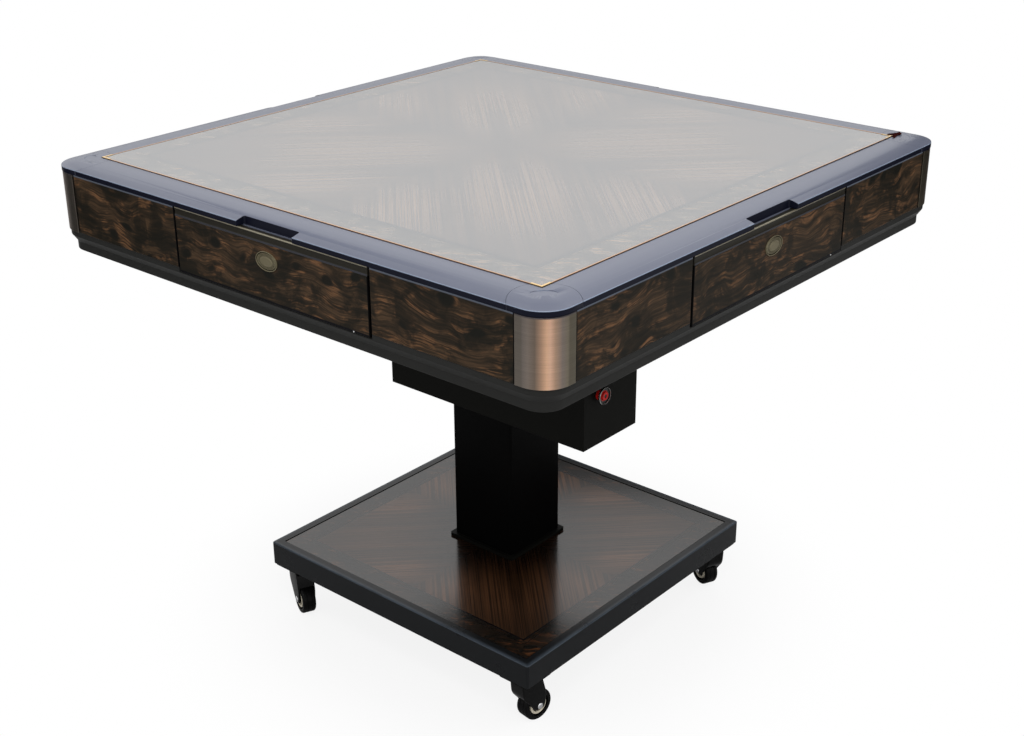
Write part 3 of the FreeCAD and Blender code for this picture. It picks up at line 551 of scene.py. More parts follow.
def makeBurl(name, v, shift, ends, top=None, bottom=None):
    # "top" is the height of the piece's upper edge, which has a pale band of painted highlight; "bottom" has a
    # dark edging, and so have its ends, which are given as distances from the middle of the side
    mat, tree, surface, place = newMaterial(name, {"Specular IOR Level": v["shine"]})
    burl = placeGroup(tree, burlGroup, {"Vector": stretched(tree, place, place=shift), "Scale": v["scale"],
                      "Dark": v["dark"], "Brown": v["brown"], "Flame": v["flame"]})
    made = handled(tree, place, v)
    minus, size, below, least = operations(tree, "SUBTRACT", "ABSOLUTE", "LESS_THAN", "MINIMUM")
    colour, axes, edging = burl["Color"], axesOf(tree, place), v["edgeHeight"] * mm
    # a pale band of painted highlight along the top edge
    if top is not None:
        pale = spread(tree, axes[2], top - edging, top - v["edgeSolid"] * edging)
        colour = mixed(tree, pale, colour, v["edge"])
    if bottom is not None:
        colour = mixed(tree, below(axes[2], bottom + v["footHeight"] * mm), colour, v["foot"])
    along = least(size(axes[0]), size(axes[1]))
    # dark bands at the ends: painted shade that widens the gaps beside them
    for end in ends:
        colour = mixed(tree, below(size(minus(along, end)), v["endWidth"] * mm), colour, v["end"])
    return finished(mat, surface, colour, made["Roughness"], bumped(tree, burl["Figure"], *v["bump"]))


bronzeValues = {
    # "band" is a grey band painted along the top edge: painted reflection and shade under the rail's lip
    "top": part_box("corner_plates")[1].z, "bandHeight": 1.8, "bandSolid": 0.6, "band": (0.13, 0.115, 0.115, 1),
    "roughness": 0.26, "lineRoughness": 0.16, "anisotropic": 0.6, "along": 7.0, "across": 4200.0,
    "cornerAxis": 0.425,
    "lineShare": 0.7, "shade": (0.3, 0.7, 0.82, 1.16), "bump": (0.10, 0.0002),
    # colours round the corner: painted reflection bands of the brushed bronze
    "patina": ((0.0, (0.19, 0.165, 0.14)), (0.035, (0.24, 0.205, 0.18)), (0.14, (0.29, 0.24, 0.205)),
               (0.28, (0.24, 0.185, 0.145)), (0.40, (0.58, 0.365, 0.25)), (0.50, (0.98, 0.60, 0.385)),
               (0.56, (1.0, 0.615, 0.43)), (0.66, (0.58, 0.38, 0.265)), (0.80, (0.29, 0.24, 0.21)),
               (0.93, (0.25, 0.215, 0.16)), (0.98, (0.16, 0.14, 0.105))),
}


def makeBrushed(name, v):
    mat, tree, surface, place = newMaterial(name, {"Metallic": 1.0, "Anisotropic": v["anisotropic"]})
    lines = placeGroup(tree, brushedGroup, {"Vector": place, "Along": v["along"], "Across": v["across"]})
    made = handled(tree, place, v)
    times, minus, size, timesPlus = operations(tree, "MULTIPLY", "SUBTRACT", "ABSOLUTE", "MULTIPLY_ADD")
    # painted reflection bands: copper on the round of the corner, browner and darker towards the plate's two sides
    axes = axesOf(tree, place)
    turn = maths(tree, "ARCTAN2", *[minus(size(axes[i]), v["cornerAxis"]) for i in (0, 1)])
    ramp = addNode(tree, "ValToRGB", {0: maths(tree, "DIVIDE", turn, math.pi / 2)})
    elements = ramp.color_ramp.elements
    for spot, colour in v["patina"]:
        elements.new(spot).color = (*colour, 1)
    elements.remove(elements[0])
    elements.remove(elements[-1])
    blend = timesPlus(lines["Lines"], v["lineShare"], times(lines["Bands"], 1 - v["lineShare"]))
    colour = dimmed(tree, ramp.outputs[0], spread(tree, blend, *v["shade"]))
    # a grey band along the top edge: painted reflection and shade under the rail's lip
    band = v["bandHeight"] * mm
    high = spread(tree, axes[2], v["top"] - band, v["top"] - v["bandSolid"] * band)
    roughness = timesPlus(lines["Lines"], v["lineRoughness"], made["Roughness"])
    return finished(mat, surface, mixed(tree, high, colour, v["band"]), roughness,
                    bumped(tree, lines["Lines"], *v["bump"]))


rimValues = {
    # "edge" is the colour of the painted highlight on the outer arris, "groove" the painted shadow by the board
    "colour": (0.0068, 0.0074, 0.0084, 1), "edge": (0.048, 0.060, 0.076, 1), "groove": (0.0008, 0.0008, 0.0010, 1),
    "roughness": 0.28, "shine": 0.12, "grain": 1200.0, "bump": (0.08, 0.0002), "fadeFrom": 8.0, "fadeTo": 1.2,
    "wornHeight": 1.6, "worn": (0.3, 0.6, 0.55, 1.0), "grooveWidth": 2.2,
}


def makeRimFinish(name, v):
    # painted rim: a painted highlight along its outer arris, broken up by a cloudy noise, and painted shadow where
    # it meets the board
    mat, tree, surface, place = newMaterial(name, {"Specular IOR Level": v["shine"]})
    made = handled(tree, place, v)
    times, plus, below, above = operations(tree, "MULTIPLY", "ADD", "LESS_THAN", "GREATER_THAN")
    outer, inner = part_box("base_rim")[1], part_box("base_board")[1].x
    axes = axesOf(tree, place)
    reach = farthest(tree, axes)
    # painted highlight along the outer arris
    worn = spread(tree, plus(reach, axes[2]), *[outer.x + outer.z - v[key] * mm for key in ("fadeFrom", "fadeTo")])
    worn = times(worn, above(axes[2], outer.z - v["wornHeight"] * mm))
    worn = times(worn, spread(tree, made["Cloud"], *v["worn"]))
    groove = below(reach, inner + v["grooveWidth"] * mm)
    colour = mixed(tree, groove, mixed(tree, worn, v["colour"], v["edge"]), v["groove"])
    return finished(mat, surface, colour, made["Roughness"], bumped(tree, made["Grain"], *v["bump"]))


finishes = {
    "slateRail": {"colour": (0.116, 0.127, 0.172), "roughness": 0.33, "variation": 0.05, "drift": 0.05,
                  "grain": 1500, "bump": 0.04, "shine": 0.16},
    # painted shade on the rails' outer lip, notch floor and faces that look down
    "railLip": {"colour": (0.0050, 0.0058, 0.0125), "roughness": 0.34, "shine": 0.08},
    # painted highlight on the rails' rounded arris and corner-block recess walls
    "railEdge": {"colour": (0.20, 0.24, 0.32), "roughness": 0.25, "shine": 0.3},
    "goldTrim": {"colour": (0.30, 0.175, 0.105), "metallic": 1.0, "roughness": 0.28, "grain": 600},
    "capGold": {"colour": (0.46, 0.31, 0.13), "metallic": 1.0, "roughness": 0.24, "grain": 600},
    "oliveBronze": {"colour": (0.0155, 0.0138, 0.0100), "roughness": 0.32, "grain": 700, "shine": 0.12},
    "champagne": {"colour": (0.32, 0.29, 0.215), "metallic": 0.7, "roughness": 0.36},
    "slateSeam": {"colour": (0.026, 0.027, 0.033), "roughness": 0.35, "shine": 0.2},
    "skirtGrey": {"colour": (0.0185, 0.0185, 0.0175), "roughness": 0.42, "grain": 1300, "bump": 0.2,
                  "shine": 0.06},
    "frameBoard": {"colour": (0.05, 0.045, 0.04), "roughness": 0.6},
    "blackSteel": {"colour": (0.0045, 0.0045, 0.0038), "roughness": 0.42, "grain": 1600, "bump": 0.3,
                   "shine": 0.03},
    "columnBlack": {"colour": (0.0012, 0.0012, 0.0012), "roughness": 0.36, "grain": 1600, "bump": 0.2,
                    "shine": 0.03},
    "undersideBlack": {"colour": (0.008, 0.008, 0.008), "roughness": 0.6, "bump": 0.4, "shine": 0.1},
    "felt": {"colour": (0.02, 0.11, 0.13), "roughness": 0.95, "sheen": 0.4, "grain": 1800, "bump": 0.6,
             "cloud": 40},
    "zincSheet": {"colour": (0.55, 0.56, 0.57), "metallic": 1.0, "roughness": 0.38, "cloud": 60, "drift": 0.2},
    "machinePlastic": {"colour": (0.03, 0.03, 0.034), "roughness": 0.35, "grain": 1200},
    "motorCase": {"colour": (0.03, 0.03, 0.03), "roughness": 0.45},
    "driveRubber": {"colour": (0.018, 0.018, 0.018), "roughness": 0.7, "bump": 0.3},
    "casterPlastic": {"colour": (0.0018, 0.0018, 0.0018), "roughness": 0.14, "grain": 500, "bump": 0.04,
                      "shine": 0.12},
    "casterTyre": {"colour": (0.0025, 0.0025, 0.0025), "roughness": 0.35, "bump": 0.2, "shine": 0.08},
    "casterRing": {"colour": (0.66, 0.60, 0.47), "metallic": 0.3, "roughness": 0.25},
    "brightSteel": {"colour": (0.75, 0.75, 0.76), "metallic": 1.0, "roughness": 0.18},
    "chromeRing": {"colour": (0.45, 0.44, 0.42), "metallic": 1.0, "roughness": 0.2, "bump": 0.02},
    "redPlastic": {"colour": (0.36, 0.008, 0.006), "roughness": 0.3, "shine": 0.15},
    "strapStitch": {"colour": (0.06, 0.015, 0.012), "roughness": 0.8, "shine": 0.05},
    "redRibbon": {"colour": (0.020, 0.0018, 0.0018), "roughness": 0.9, "grain": 1400, "bump": 0.8, "shine": 0.04},
    "inletPlastic": {"colour": (0.012, 0.012, 0.012), "roughness": 0.5, "bump": 0.3},
    "paleBrass": {"colour": (0.175, 0.152, 0.090), "metallic": 0.6, "roughness": 0.34, "bump": 0.2},
    "badgeShade": {"colour": (0.0025, 0.0025, 0.0025), "roughness": 0.6, "shine": 0.05},
}
burlShift = (0.37, 0.21, 0.13)  # keeps the drawers' figure apart from the panels'
panelGap = 3 * mm
panelBox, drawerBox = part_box("side_panels_front"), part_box("drawer_front_front")
panelEnds = (drawerBox[1].x + panelGap, panelBox[1].x)
special = [
    makeVeneer("coverVeneer", veneerValues, coverColours), makeVeneer("footVeneer", veneerValues, footColours),
    makeRimFinish("charcoalRim", rimValues), makeBrushed("brushedBronze", bronzeValues),
    makeBurl("burlPanel", burlValues, (0, 0, 0), panelEnds, top=panelBox[1].z),
    makeBurl("burlDrawer", burlValues, burlShift, (drawerBox[1].x,), bottom=drawerBox[0].z),
]
materials = {name: makeFinish(name, values) for name, values in finishes.items()}
materials.update({mat.name: mat for mat in special})
print("materials:", len(materials))

# a slot's finish has the slot's own name in camel case, but for these slots and nodes
slotMaterial = {"striped_veneer": "coverVeneer", "burl_veneer": "burlPanel", "pull_metal": "oliveBronze"}
nodeMaterial = {"cover_corner_caps": "capGold", "base_board": "footVeneer", "column_tube": "columnBlack"}
nodeMaterial.update({"drawer_front_" + side: "burlDrawer" for side in sideTurns})


def materialOf(node):
    first, *rest = slotOf[node].split("_")
    plain = first + "".join(word.capitalize() for word in rest)
    return materials[nodeMaterial.get(node, slotMaterial.get(slotOf[node], plain))]


for node, piece in nodes.items():
    piece.data.materials.clear()
    piece.data.materials.append(materialOf(node))
print("CAD nodes dressed")


# pieces that stand for CAD nodes

weldReach, flatAngle = 1e-5, math.radians(0.5)


def addPiece(name, mesh, body, slotName, *replaced):
    piece = addObject(name, mesh)
    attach(piece, body)
    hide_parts(*replaced)
    return piece


def smoothed(mesh, angle=30.0):
    mesh.shade_smooth()
    mesh.set_sharp_from_angle(angle=math.radians(angle))
    return mesh


def painted(mesh, *names):
    # clearing the list sets every face's index to 0, so the indices are put back
    kept = [polygon.material_index for polygon in mesh.polygons]
    mesh.materials.clear()
    for name in names:
        mesh.materials.append(materials[name])
    mesh.polygons.foreach_set("material_index", kept)
    return mesh


def meshFrom(shape, name):
    mesh = bpy.data.meshes.new(name)
    shape.to_mesh(mesh)
    shape.free()
    return mesh


def closedFrom(shape, name, *names, angle=30.0):
    # the painted mesh of a closed shape, its faces turned outwards
    bmesh.ops.recalc_face_normals(shape, faces=shape.faces)
    return smoothed(painted(meshFrom(shape, name), *names), angle)


def welded(mesh):
    shape = bmesh.new()
    shape.from_mesh(mesh)
    bmesh.ops.remove_doubles(shape, verts=shape.verts, dist=weldReach)
    return shape


def mergedCopy(node):
    mesh = nodes[node].data.copy()
    mesh.name = "soft_" + node
    shape = welded(mesh)
    bmesh.ops.dissolve_limit(shape, angle_limit=flatAngle, verts=shape.verts, edges=shape.edges)
    shape.to_mesh(mesh)
    shape.free()
    return smoothed(mesh)


def addBevel(piece, width, segments=3, angle=30.0):
    bevel = piece.modifiers.new("arris", "BEVEL")
    bevel.width = width * mm
    bevel.segments = segments
    bevel.limit_method = "ANGLE"
    bevel.angle_limit = math.radians(angle)
    bevel.harden_normals = True


def bridged(shape, rings, indices=None):
    # faces from each ring of corners to the next; corners that coincide make triangles
    for row, (a, b) in enumerate(zip(rings, rings[1:])):
        for k, corner in enumerate(a):
            n = (k + 1) % len(a)
            corners = list(dict.fromkeys((corner, a[n], b[n], b[k])))
            shape.faces.new(corners).material_index = indices[row] if indices else 0


def capped(shape, rings):
    shape.faces.new(rings[0][::-1])
    shape.faces.new(rings[-1])


def oval(shape, reachX, reachY, height, steps):
    # a ring of corners round Z, in millimetres
    angles = [2 * math.pi * k / steps for k in range(steps)]
    return [shape.verts.new((reachX * mm * math.cos(a), reachY * mm * math.sin(a), height * mm)) for a in angles]


def arcOf(radius, height, out, up, steps=6):
    # profile points of a quarter round, from its top to its side
    angles = [k / steps * math.pi / 2 for k in range(steps + 1)]
    return [(radius + out * math.sin(a), height + up * math.cos(a), 0) for a in angles]


def turnedShape(name, profile, names, steps=48, closed=False):
    # a profile of (radius, height, finish index), in millimetres, turned about Z
    shape = bmesh.new()
    rings = []
    for radius, height, _ in profile:
        pole = [] if radius else [shape.verts.new((0, 0, height * mm))] * steps
        rings.append(pole or oval(shape, radius, radius, height, steps))
    bridged(shape, rings + rings[:1] if closed else rings, [index for _, _, index in profile])
    return closedFrom(shape, name, *names)


def rodShape(name, radius, half, finish, steps):
    profile = [(0, -half, 0), (radius, -half, 0), (radius, half, 0), (0, half, 0)]
    return turnedShape(name, profile, [finish], steps)


def drawnShape(name, outline, half, names):
    # an outline of (y, z, finish index), in metres, drawn out along X to both sides
    shape = bmesh.new()
    ends = [[shape.verts.new((x, y, z)) for y, z, _ in outline] for x in (-half, half)]
    bridged(shape, ends)
    for face, (_, _, index) in zip(shape.faces, outline):
        face.material_index = index
    capped(shape, ends)
    return closedFrom(shape, name, *names)


def cornersOf(low, high):
    return [Vector((x, y, z)) for x in (low[0], high[0]) for y in (low[1], high[1]) for z in (low[2], high[2])]


def facing(place, axis):
    # brings Z to an axis at a place
    return Matrix.Translation(place) @ Vector(axis).to_track_quat("Z", "Y").to_matrix().to_4x4()


def joinedMesh(name, meshes):
    # one mesh from several that may each have their own finishes
    shape = bmesh.new()
    names = []
    for mesh in meshes:
        own = [m.name for m in mesh.materials]
        start = len(shape.faces)
        shape.from_mesh(mesh)
        shape.faces.ensure_lookup_table()
        for face in shape.faces[start:]:
            label = own[face.material_index]
            if label not in names:
                names.append(label)
            face.material_index = names.index(label)
    return painted(meshFrom(shape, name), *names)


def solidsOf(node):
    # the lowest and highest corner of each separate solid of a node
    shape = welded(nodes[node].data)
    left = set(shape.verts)
    found = []
    while left:
        group, front = set(), [left.pop()]
        while front:
            vert = front.pop()
            group.add(vert)
            near = {link.other_vert(vert) for link in vert.link_edges} & left
            left -= near
            front += near
        found.append([Vector([pick(vert.co[i] for vert in group) for i in range(3)]) for pick in (min, max)])
    shape.free()
    return sorted(found, key=lambda box: tuple(round(c, 4) for c in box[0]))


# geometry node trees

def newMaker(name, lengths, *others):
    # each length, in millimetres, becomes an input under its own name
    inputs = [("Geometry", "Geometry")] + [(label, "Float", length * mm) for label, length in lengths.items()]
    return newTree(name, "GeometryNodeTree", inputs + list(others), [("Geometry", "Geometry")])


def grown(name, source, tree, body, slotName, *replaced):
    # runs a tree on a source mesh and keeps the plain mesh that it makes
    maker = addObject(name + "Maker", source)
    maker.modifiers.new("tree", "NODES").node_group = tree
    mesh = evaluated(maker, name)
    bpy.data.objects.remove(maker)
    return addPiece(name, smoothed(mesh), body, slotName, *replaced)


def evaluated(piece, name):
    seen = piece.evaluated_get(bpy.context.evaluated_depsgraph_get())
    mesh = bpy.data.meshes.new_from_object(seen)
    mesh.name = name
    return mesh


def transformed(tree, geometry, place=(0, 0, 0), scale=(1, 1, 1)):
    return firstOf(tree, "GeometryNodeTransform", {"Geometry": geometry, "Translation": place, "Scale": scale})


def joinedNodes(tree, *parts):
    join = tree.nodes.new("GeometryNodeJoinGeometry")
    for part in parts:
        tree.links.new(part, join.inputs[0])
    return join.outputs[0]


def cubeNode(tree, *size):
    return firstOf(tree, "GeometryNodeMeshCube", {"Size": [length * mm for length in size]})


def rodNode(tree, sides, radius, depth):
    return firstOf(tree, "GeometryNodeMeshCylinder", {"Vertices": sides, "Radius": radius, "Depth": depth})


def instanced(tree, points, instance, **turnOrScale):
    return firstOf(tree, "GeometryNodeInstanceOnPoints", {"Points": points, "Instance": instance, **turnOrScale})


def marked(tree, geometry, label):
    # a boolean on the faces, by which the last Set Material node knows them
    return firstOf(tree, "GeometryNodeStoreNamedAttribute", {"Geometry": geometry, "Name": label, "Value": True},
                   data_type="BOOLEAN", domain="FACE")


def named(tree, label, kind):
    return firstOf(tree, "GeometryNodeInputNamedAttribute", {"Name": label}, data_type=kind)


def coloured(tree, geometry, name, label=None):
    inputs = {"Geometry": geometry, "Material": materials[name]}
    if label:
        inputs["Selection"] = named(tree, label, "BOOLEAN")
    return firstOf(tree, "GeometryNodeSetMaterial", inputs)


def realized(tree, geometry):
    return firstOf(tree, "GeometryNodeRealizeInstances", {"Geometry": geometry})


# pan-head screws with a cross recess, one at each point; "reach" on the points is the shank's length

screwValues = {"headRadius": 4.0, "headHeight": 2.2, "headSides": 20, "domeRings": 10, "shankRadius": 2.5,
               "shankSides": 16, "recessLength": 4.4, "recessWidth": 0.9, "recessDepth": 0.9, "recessSunk": 0.42}


def makeScrewTree(v):
    tree, given, result = newMaker("panScrew", {
        "Head Radius": v["headRadius"], "Head Height": v["headHeight"], "Shank Radius": v["shankRadius"]})
    times, plus = operations(tree, "MULTIPLY", "ADD")
    radius, height = given["Head Radius"], given["Head Height"]
    half = times(height, 0.5)
    rim = transformed(tree, rodNode(tree, v["headSides"], radius, half), vectorOf(tree, z=times(height, -0.25)))
    dome = firstOf(tree, "GeometryNodeMeshUVSphere", {
        "Segments": v["headSides"], "Rings": v["domeRings"], "Radius": 1.0})
    dome = transformed(tree, dome, vectorOf(tree, z=times(height, -0.5)), vectorOf(tree, radius, radius, half))
    # the cross recess is two dark bars barely standing out of the head: painted shade where a real recess would be
    recess = joinedNodes(tree, cubeNode(tree, v["recessLength"], v["recessWidth"], v["recessDepth"]),
                         cubeNode(tree, v["recessWidth"], v["recessLength"], v["recessDepth"]))
    sunk = plus(times(height, -1), v["recessDepth"] * mm * v["recessSunk"])
    recess = marked(tree, transformed(tree, recess, vectorOf(tree, z=sunk)), "recess")
    heads = instanced(tree, given["Geometry"], joinedNodes(tree, rim, dome, recess))
    # a shank of length 1 that starts at its point
    shank = transformed(tree, rodNode(tree, v["shankSides"], given["Shank Radius"], 1.0), (0, 0, 0.5))
    reach = vectorOf(tree, 1.0, 1.0, named(tree, "reach", "FLOAT"))
    shanks = instanced(tree, given["Geometry"], shank, Scale=reach)
    both = realized(tree, joinedNodes(tree, heads, shanks))
    both = coloured(tree, coloured(tree, both, "zincSheet"), "badgeShade", "recess")
    tree.links.new(both, result[0])
    return tree


def pointCloud(name, places, reaches=None):
    mesh = bpy.data.meshes.new(name)
    mesh.from_pydata(places, [], [])
    if reaches:
        mesh.attributes.new("reach", "FLOAT", "POINT").data.foreach_set("value", reaches)
    return mesh


def makeScrews(v):
    boxes = solidsOf("mounting_screws")
    head = v["headHeight"] * mm
    points = pointCloud("screwPoints", [((a.x + b.x) / 2, (a.y + b.y) / 2, a.z + head) for a, b in boxes],
                        [b.z - a.z - head for a, b in boxes])
    grown("mountingScrews", points, makeScrewTree(v), "table", "zinc_sheet", "mounting_screws")
    return len(boxes)


print("screws:", makeScrews(screwValues))


# casters: hooded fork, bright axle caps and a wheel with a pale ring on each face

casterValues = {
    "halfWidth": 14.5, "cheek": 2.5, "wheelRadius": 25.0, "halfWheel": 11.0, "trail": 17.0, "room": 2.0,
    # the hood's outline along and up, and how its two sides are drawn in towards a middle
    "hood": ((-17, 75.5), (21, 75.5), (30, 42), (26, 19), (9, 19), (-15, 50)), "round": 7.0,
    "hoodMiddle": (11, 47), "shoulder": 4.5, "drawnIn": 0.55, "halfSlices": 8, "flatSlices": 2,
    "flatStep": 0.62 / 2.4, "hoodAngle": 35,
    "roomSides": 64, "crownSides": 48, "pinSides": 24, "capSides": 32, "wheelSides": 72,
    # what the wheel needs below its axle: low and high corner along and up
    "below": ((-40, -10), (70, 25)),
    # profiles of radius, height and finish index; the wheel's heights count from its face, and the groove's
    # radii from its tread
    "crown": ((4.1, 74.5, 0), (17, 74.5, 0), (18, 75.5, 0), (18, 78.5, 0), (17.4, 79.9, 0), (16, 80.5, 0),
              (4.1, 80.5, 0)),
    "wheelSide": ((3.05, 0.5, 1), (6.2, 0.5, 1), (7.0, -0.1, 1), (7.0, -3.0, 1), (11.0, -3.0, 2), (11.2, -0.9, 2),
                  (11.8, -0.45, 2), (13.0, -0.2, 2), (14.2, -0.45, 2), (14.8, -0.9, 2), (15.0, -3.0, 1),
                  (18.0, -3.0, 1), (18.2, -0.6, 0), (18.8, 0, 0)),
    "treadRound": 3.0, "groove": ((0, 4.6), (-0.7, 4.2), (-0.7, 3.4), (0, 3.0)),
    "capRadius": 5.0, "capBase": 0.5, "capRise": 1.8, "capSunk": 0.6, "pinRadius": 3.0, "pinInset": 0.5,
}


def roundedOutline(points, radius, steps=6, share=0.45):
    # a polygon's corners as arcs, each no larger than a share of its sides
    found = []
    for k, point in enumerate(points):
        here = Vector(point)
        before, after = Vector(points[k - 1]) - here, Vector(points[(k + 1) % len(points)]) - here
        reach = min(radius, before.length * share, after.length * share)
        start, end = here + before.normalized() * reach, here + after.normalized() * reach
        for step in range(steps + 1):
            s = step / steps
            found.append(start * (1 - s) ** 2 + here * (2 * s * (1 - s)) + end * s ** 2)
    return found


def forkShell(v):
    # the hood: rounded outline, shoulders drawn in towards the sides, hollowed for the wheel
    outline = roundedOutline(v["hood"], v["round"])
    shape = bmesh.new()
    rings = []
    for step in range(-v["halfSlices"], v["halfSlices"] + 1):
        share = abs(step) / v["halfSlices"]
        y = math.copysign(v["halfWidth"] - v["shoulder"] * (1 - math.sin(share * math.pi / 2)), step)
        if abs(step) <= v["flatSlices"]:
            y = v["halfWidth"] * v["flatStep"] * step
        inset = v["shoulder"] * v["drawnIn"] * (1 - math.cos(max(0, share * 2 - 1) * math.pi / 2))
        drawn = [p + (Vector(v["hoodMiddle"]) - p).normalized() * inset for p in outline]
        rings.append([shape.verts.new((q.x * mm, y * mm, q.y * mm)) for q in drawn])
    bridged(shape, rings)
    capped(shape, rings)
    return closedFrom(shape, "forkShell", "casterPlastic")


def carved(mesh, cutters, name):
    # the mesh less its cutters, with an exact boolean
    piece = addObject(name, mesh)
    tools = [addObject("cutter", cutter) for cutter in cutters]
    for tool in tools:
        modifier = piece.modifiers.new("cut", "BOOLEAN")
        modifier.operation = "DIFFERENCE"
        modifier.solver = "EXACT"
        modifier.object = tool
    result = evaluated(piece, name)
    for used in (*tools, piece):
        bpy.data.objects.remove(used)
    return result


def boxMesh(low, high):
    mesh = bpy.data.meshes.new("box")
    sides = [(0, 1, 3, 2), (4, 6, 7, 5), (0, 4, 5, 1), (2, 3, 7, 6), (0, 2, 6, 4), (1, 5, 7, 3)]
    mesh.from_pydata([corner * mm for corner in cornersOf(low, high)], [], sides)
    return mesh


def makeFork(v):
    slot = v["halfWidth"] - v["cheek"]
    axle = Vector((v["trail"], 0, v["wheelRadius"])) * mm
    room = rodShape("room", v["wheelRadius"] + v["room"], slot, "casterPlastic", v["roomSides"])
    room.transform(facing(axle, (0, 1, 0)))
    (lowX, lowZ), (highX, highZ) = v["below"]
    below = painted(boxMesh((lowX, -slot, lowZ), (highX, slot, highZ)), "casterPlastic")
    shell = smoothed(carved(forkShell(v), [room, below], "forkHood"), v["hoodAngle"])
    crown = turnedShape("crown", v["crown"], ["casterPlastic"], v["crownSides"], closed=True)
    pin = rodShape("axlePin", v["pinRadius"], v["halfWidth"] - v["pinInset"], "brightSteel", v["pinSides"])
    pin.transform(facing(axle, (0, 1, 0)))
    profile = arcOf(0, v["capBase"], v["capRadius"], v["capRise"])
    profile += [(v["capRadius"], -v["capSunk"], 0), (0, -v["capSunk"], 0)]
    caps = []
    for way in (-1, 1):
        caps.append(turnedShape("axleCap", profile, ["brightSteel"], v["capSides"]))
        place = axle + Vector((0, way * (v["halfWidth"] - v["capSunk"]) * mm, 0))
        caps[-1].transform(facing(place, (0, way, 0)))
    return joinedMesh("fork", [shell, crown, pin, *caps])


def makeCasters(v):
    fork = makeFork(v)
    face, radius, arc = v["halfWheel"], v["wheelRadius"], v["treadRound"]
    upper = [(r, face + height, index) for r, height, index in v["wheelSide"]]
    upper += arcOf(radius - arc, face - arc, arc, arc)
    upper += [(radius + depth, height, 0) for depth, height in v["groove"]]
    # a stretch takes its finish from its first point, so the mirrored half shifts by one
    finishes = [index for _, _, index in upper[::-1]]
    lower = [(r, -height, index) for (r, height, _), index in zip(upper[::-1], finishes[1:] + finishes[-1:])]
    tyre = ["casterTyre", "casterPlastic", "casterRing"]
    for name in casterNames:
        swivel = joints["caster_swivel_" + name]["pos_m"]
        roll = joints["caster_roll_" + name]
        trail = Vector(roll["pos_m"]) - Vector(swivel)
        mesh = fork.copy()
        mesh.transform(Matrix.Translation((*swivel[:2], 0)) @ turned(math.degrees(math.atan2(trail.y, trail.x))))
        addPiece("casterFork_" + name, mesh, "caster_swivel_" + name, "caster_plastic", "caster_fork_" + name)
        wheel = turnedShape("casterWheel", upper + lower, tyre, v["wheelSides"], closed=True)
        wheel.transform(facing(roll["pos_m"], roll["axis"]))
        addPiece("casterWheel_" + name, wheel, "caster_roller_" + name, "caster_tyre", "caster_wheel_" + name)


makeCasters(casterValues)
print("casters made")


# drawer pulls, one drawn profile along each drawer's top edge, and a plain badge below it

pullValues = {
    "edge": 1.0, "lip": 0.35, "seam": 2.6, "hollow": 0.5, "belly": 1.6, "rib": 2.4, "ribSlope": 0.6,
    "ribHeight": 0.5, "rear": 1.0, "arris": (0.25, 2, 25),  # width, steps, angle
    "badgeLength": 40.5, "badgeWidth": 26.5, "badgeRim": 1.15, "badgeThick": 1.4, "groove": 1.25,
    "backThick": 0.35, "backRound": 0.05, "fieldThick": 0.9, "fieldRound": 0.2,
    "bossLength": 21.5, "bossWidth": 11.5, "bossThick": 1.25, "bossRound": 0.5,
    "ticks": 44, "tickLift": 0.78, "tickSize": (3.6, 0.45, 0.4), "tickOval": (0.70, 0.66), "ovalSteps": 96,
    "pinInset": 27.7, "pinLift": 1.4, "pinSides": 20,
    "pin": ((0, 0.9, 0), (0.7, 0.7, 0), (1.1, 0.3, 0), (1.2, -0.6, 0), (0, -0.6, 0)),
}


def makePulls(v):
    badgeTree = makeBadgeTree(v)
    for side, degrees in sideTurns.items():
        # the badge is the lower of the two solids in each drawer_trim node
        badgeLow, badgeHigh = min(solidsOf("drawer_trim_" + side), key=lambda box: box[1].z)
        trim, front = ([turned(-degrees) @ corner for corner in cornersOf(*box)]
                       for box in (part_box("drawer_trim_" + side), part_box("drawer_front_" + side)))
        face, inner = min(p.y for p in front), max(p.y for p in front)
        bottom, top = max(p.z for p in front), max(p.z for p in trim)
        edge, lip, seam, hollow, rib, slope, step, rear = (
            v[key] * mm for key in ("edge", "lip", "seam", "hollow", "rib", "ribSlope", "ribHeight", "rear"))
        outline = [
            (face, bottom, 1), (face, bottom + seam, 0), (face + hollow, bottom + seam + hollow, 0),
            (face + hollow * v["belly"], (bottom + top) / 2, 0), (face + hollow, top - edge - hollow, 2),
            (face, top - edge, 2), (face, top - lip, 2), (face + lip, top, 2), (face + rib, top, 0),
            (face + rib + slope, top - step, 0), (inner - rear, top - step, 0), (inner, top - step - rear, 0),
            (inner, bottom, 0)]
        mesh = drawnShape("pull_" + side, outline, max(p.x for p in trim),
                          ["oliveBronze", "slateSeam", "champagne"])
        mesh.transform(turned(degrees))
        body = bodyOf["drawer_trim_" + side]
        piece = addPiece("drawerPull_" + side, mesh, body, "pull_metal", "drawer_trim_" + side)
        addBevel(piece, *v["arris"])
        makeBadge(v, side, turned(degrees), Vector((0, face, (badgeLow.z + badgeHigh.z) / 2)), badgeTree, body)


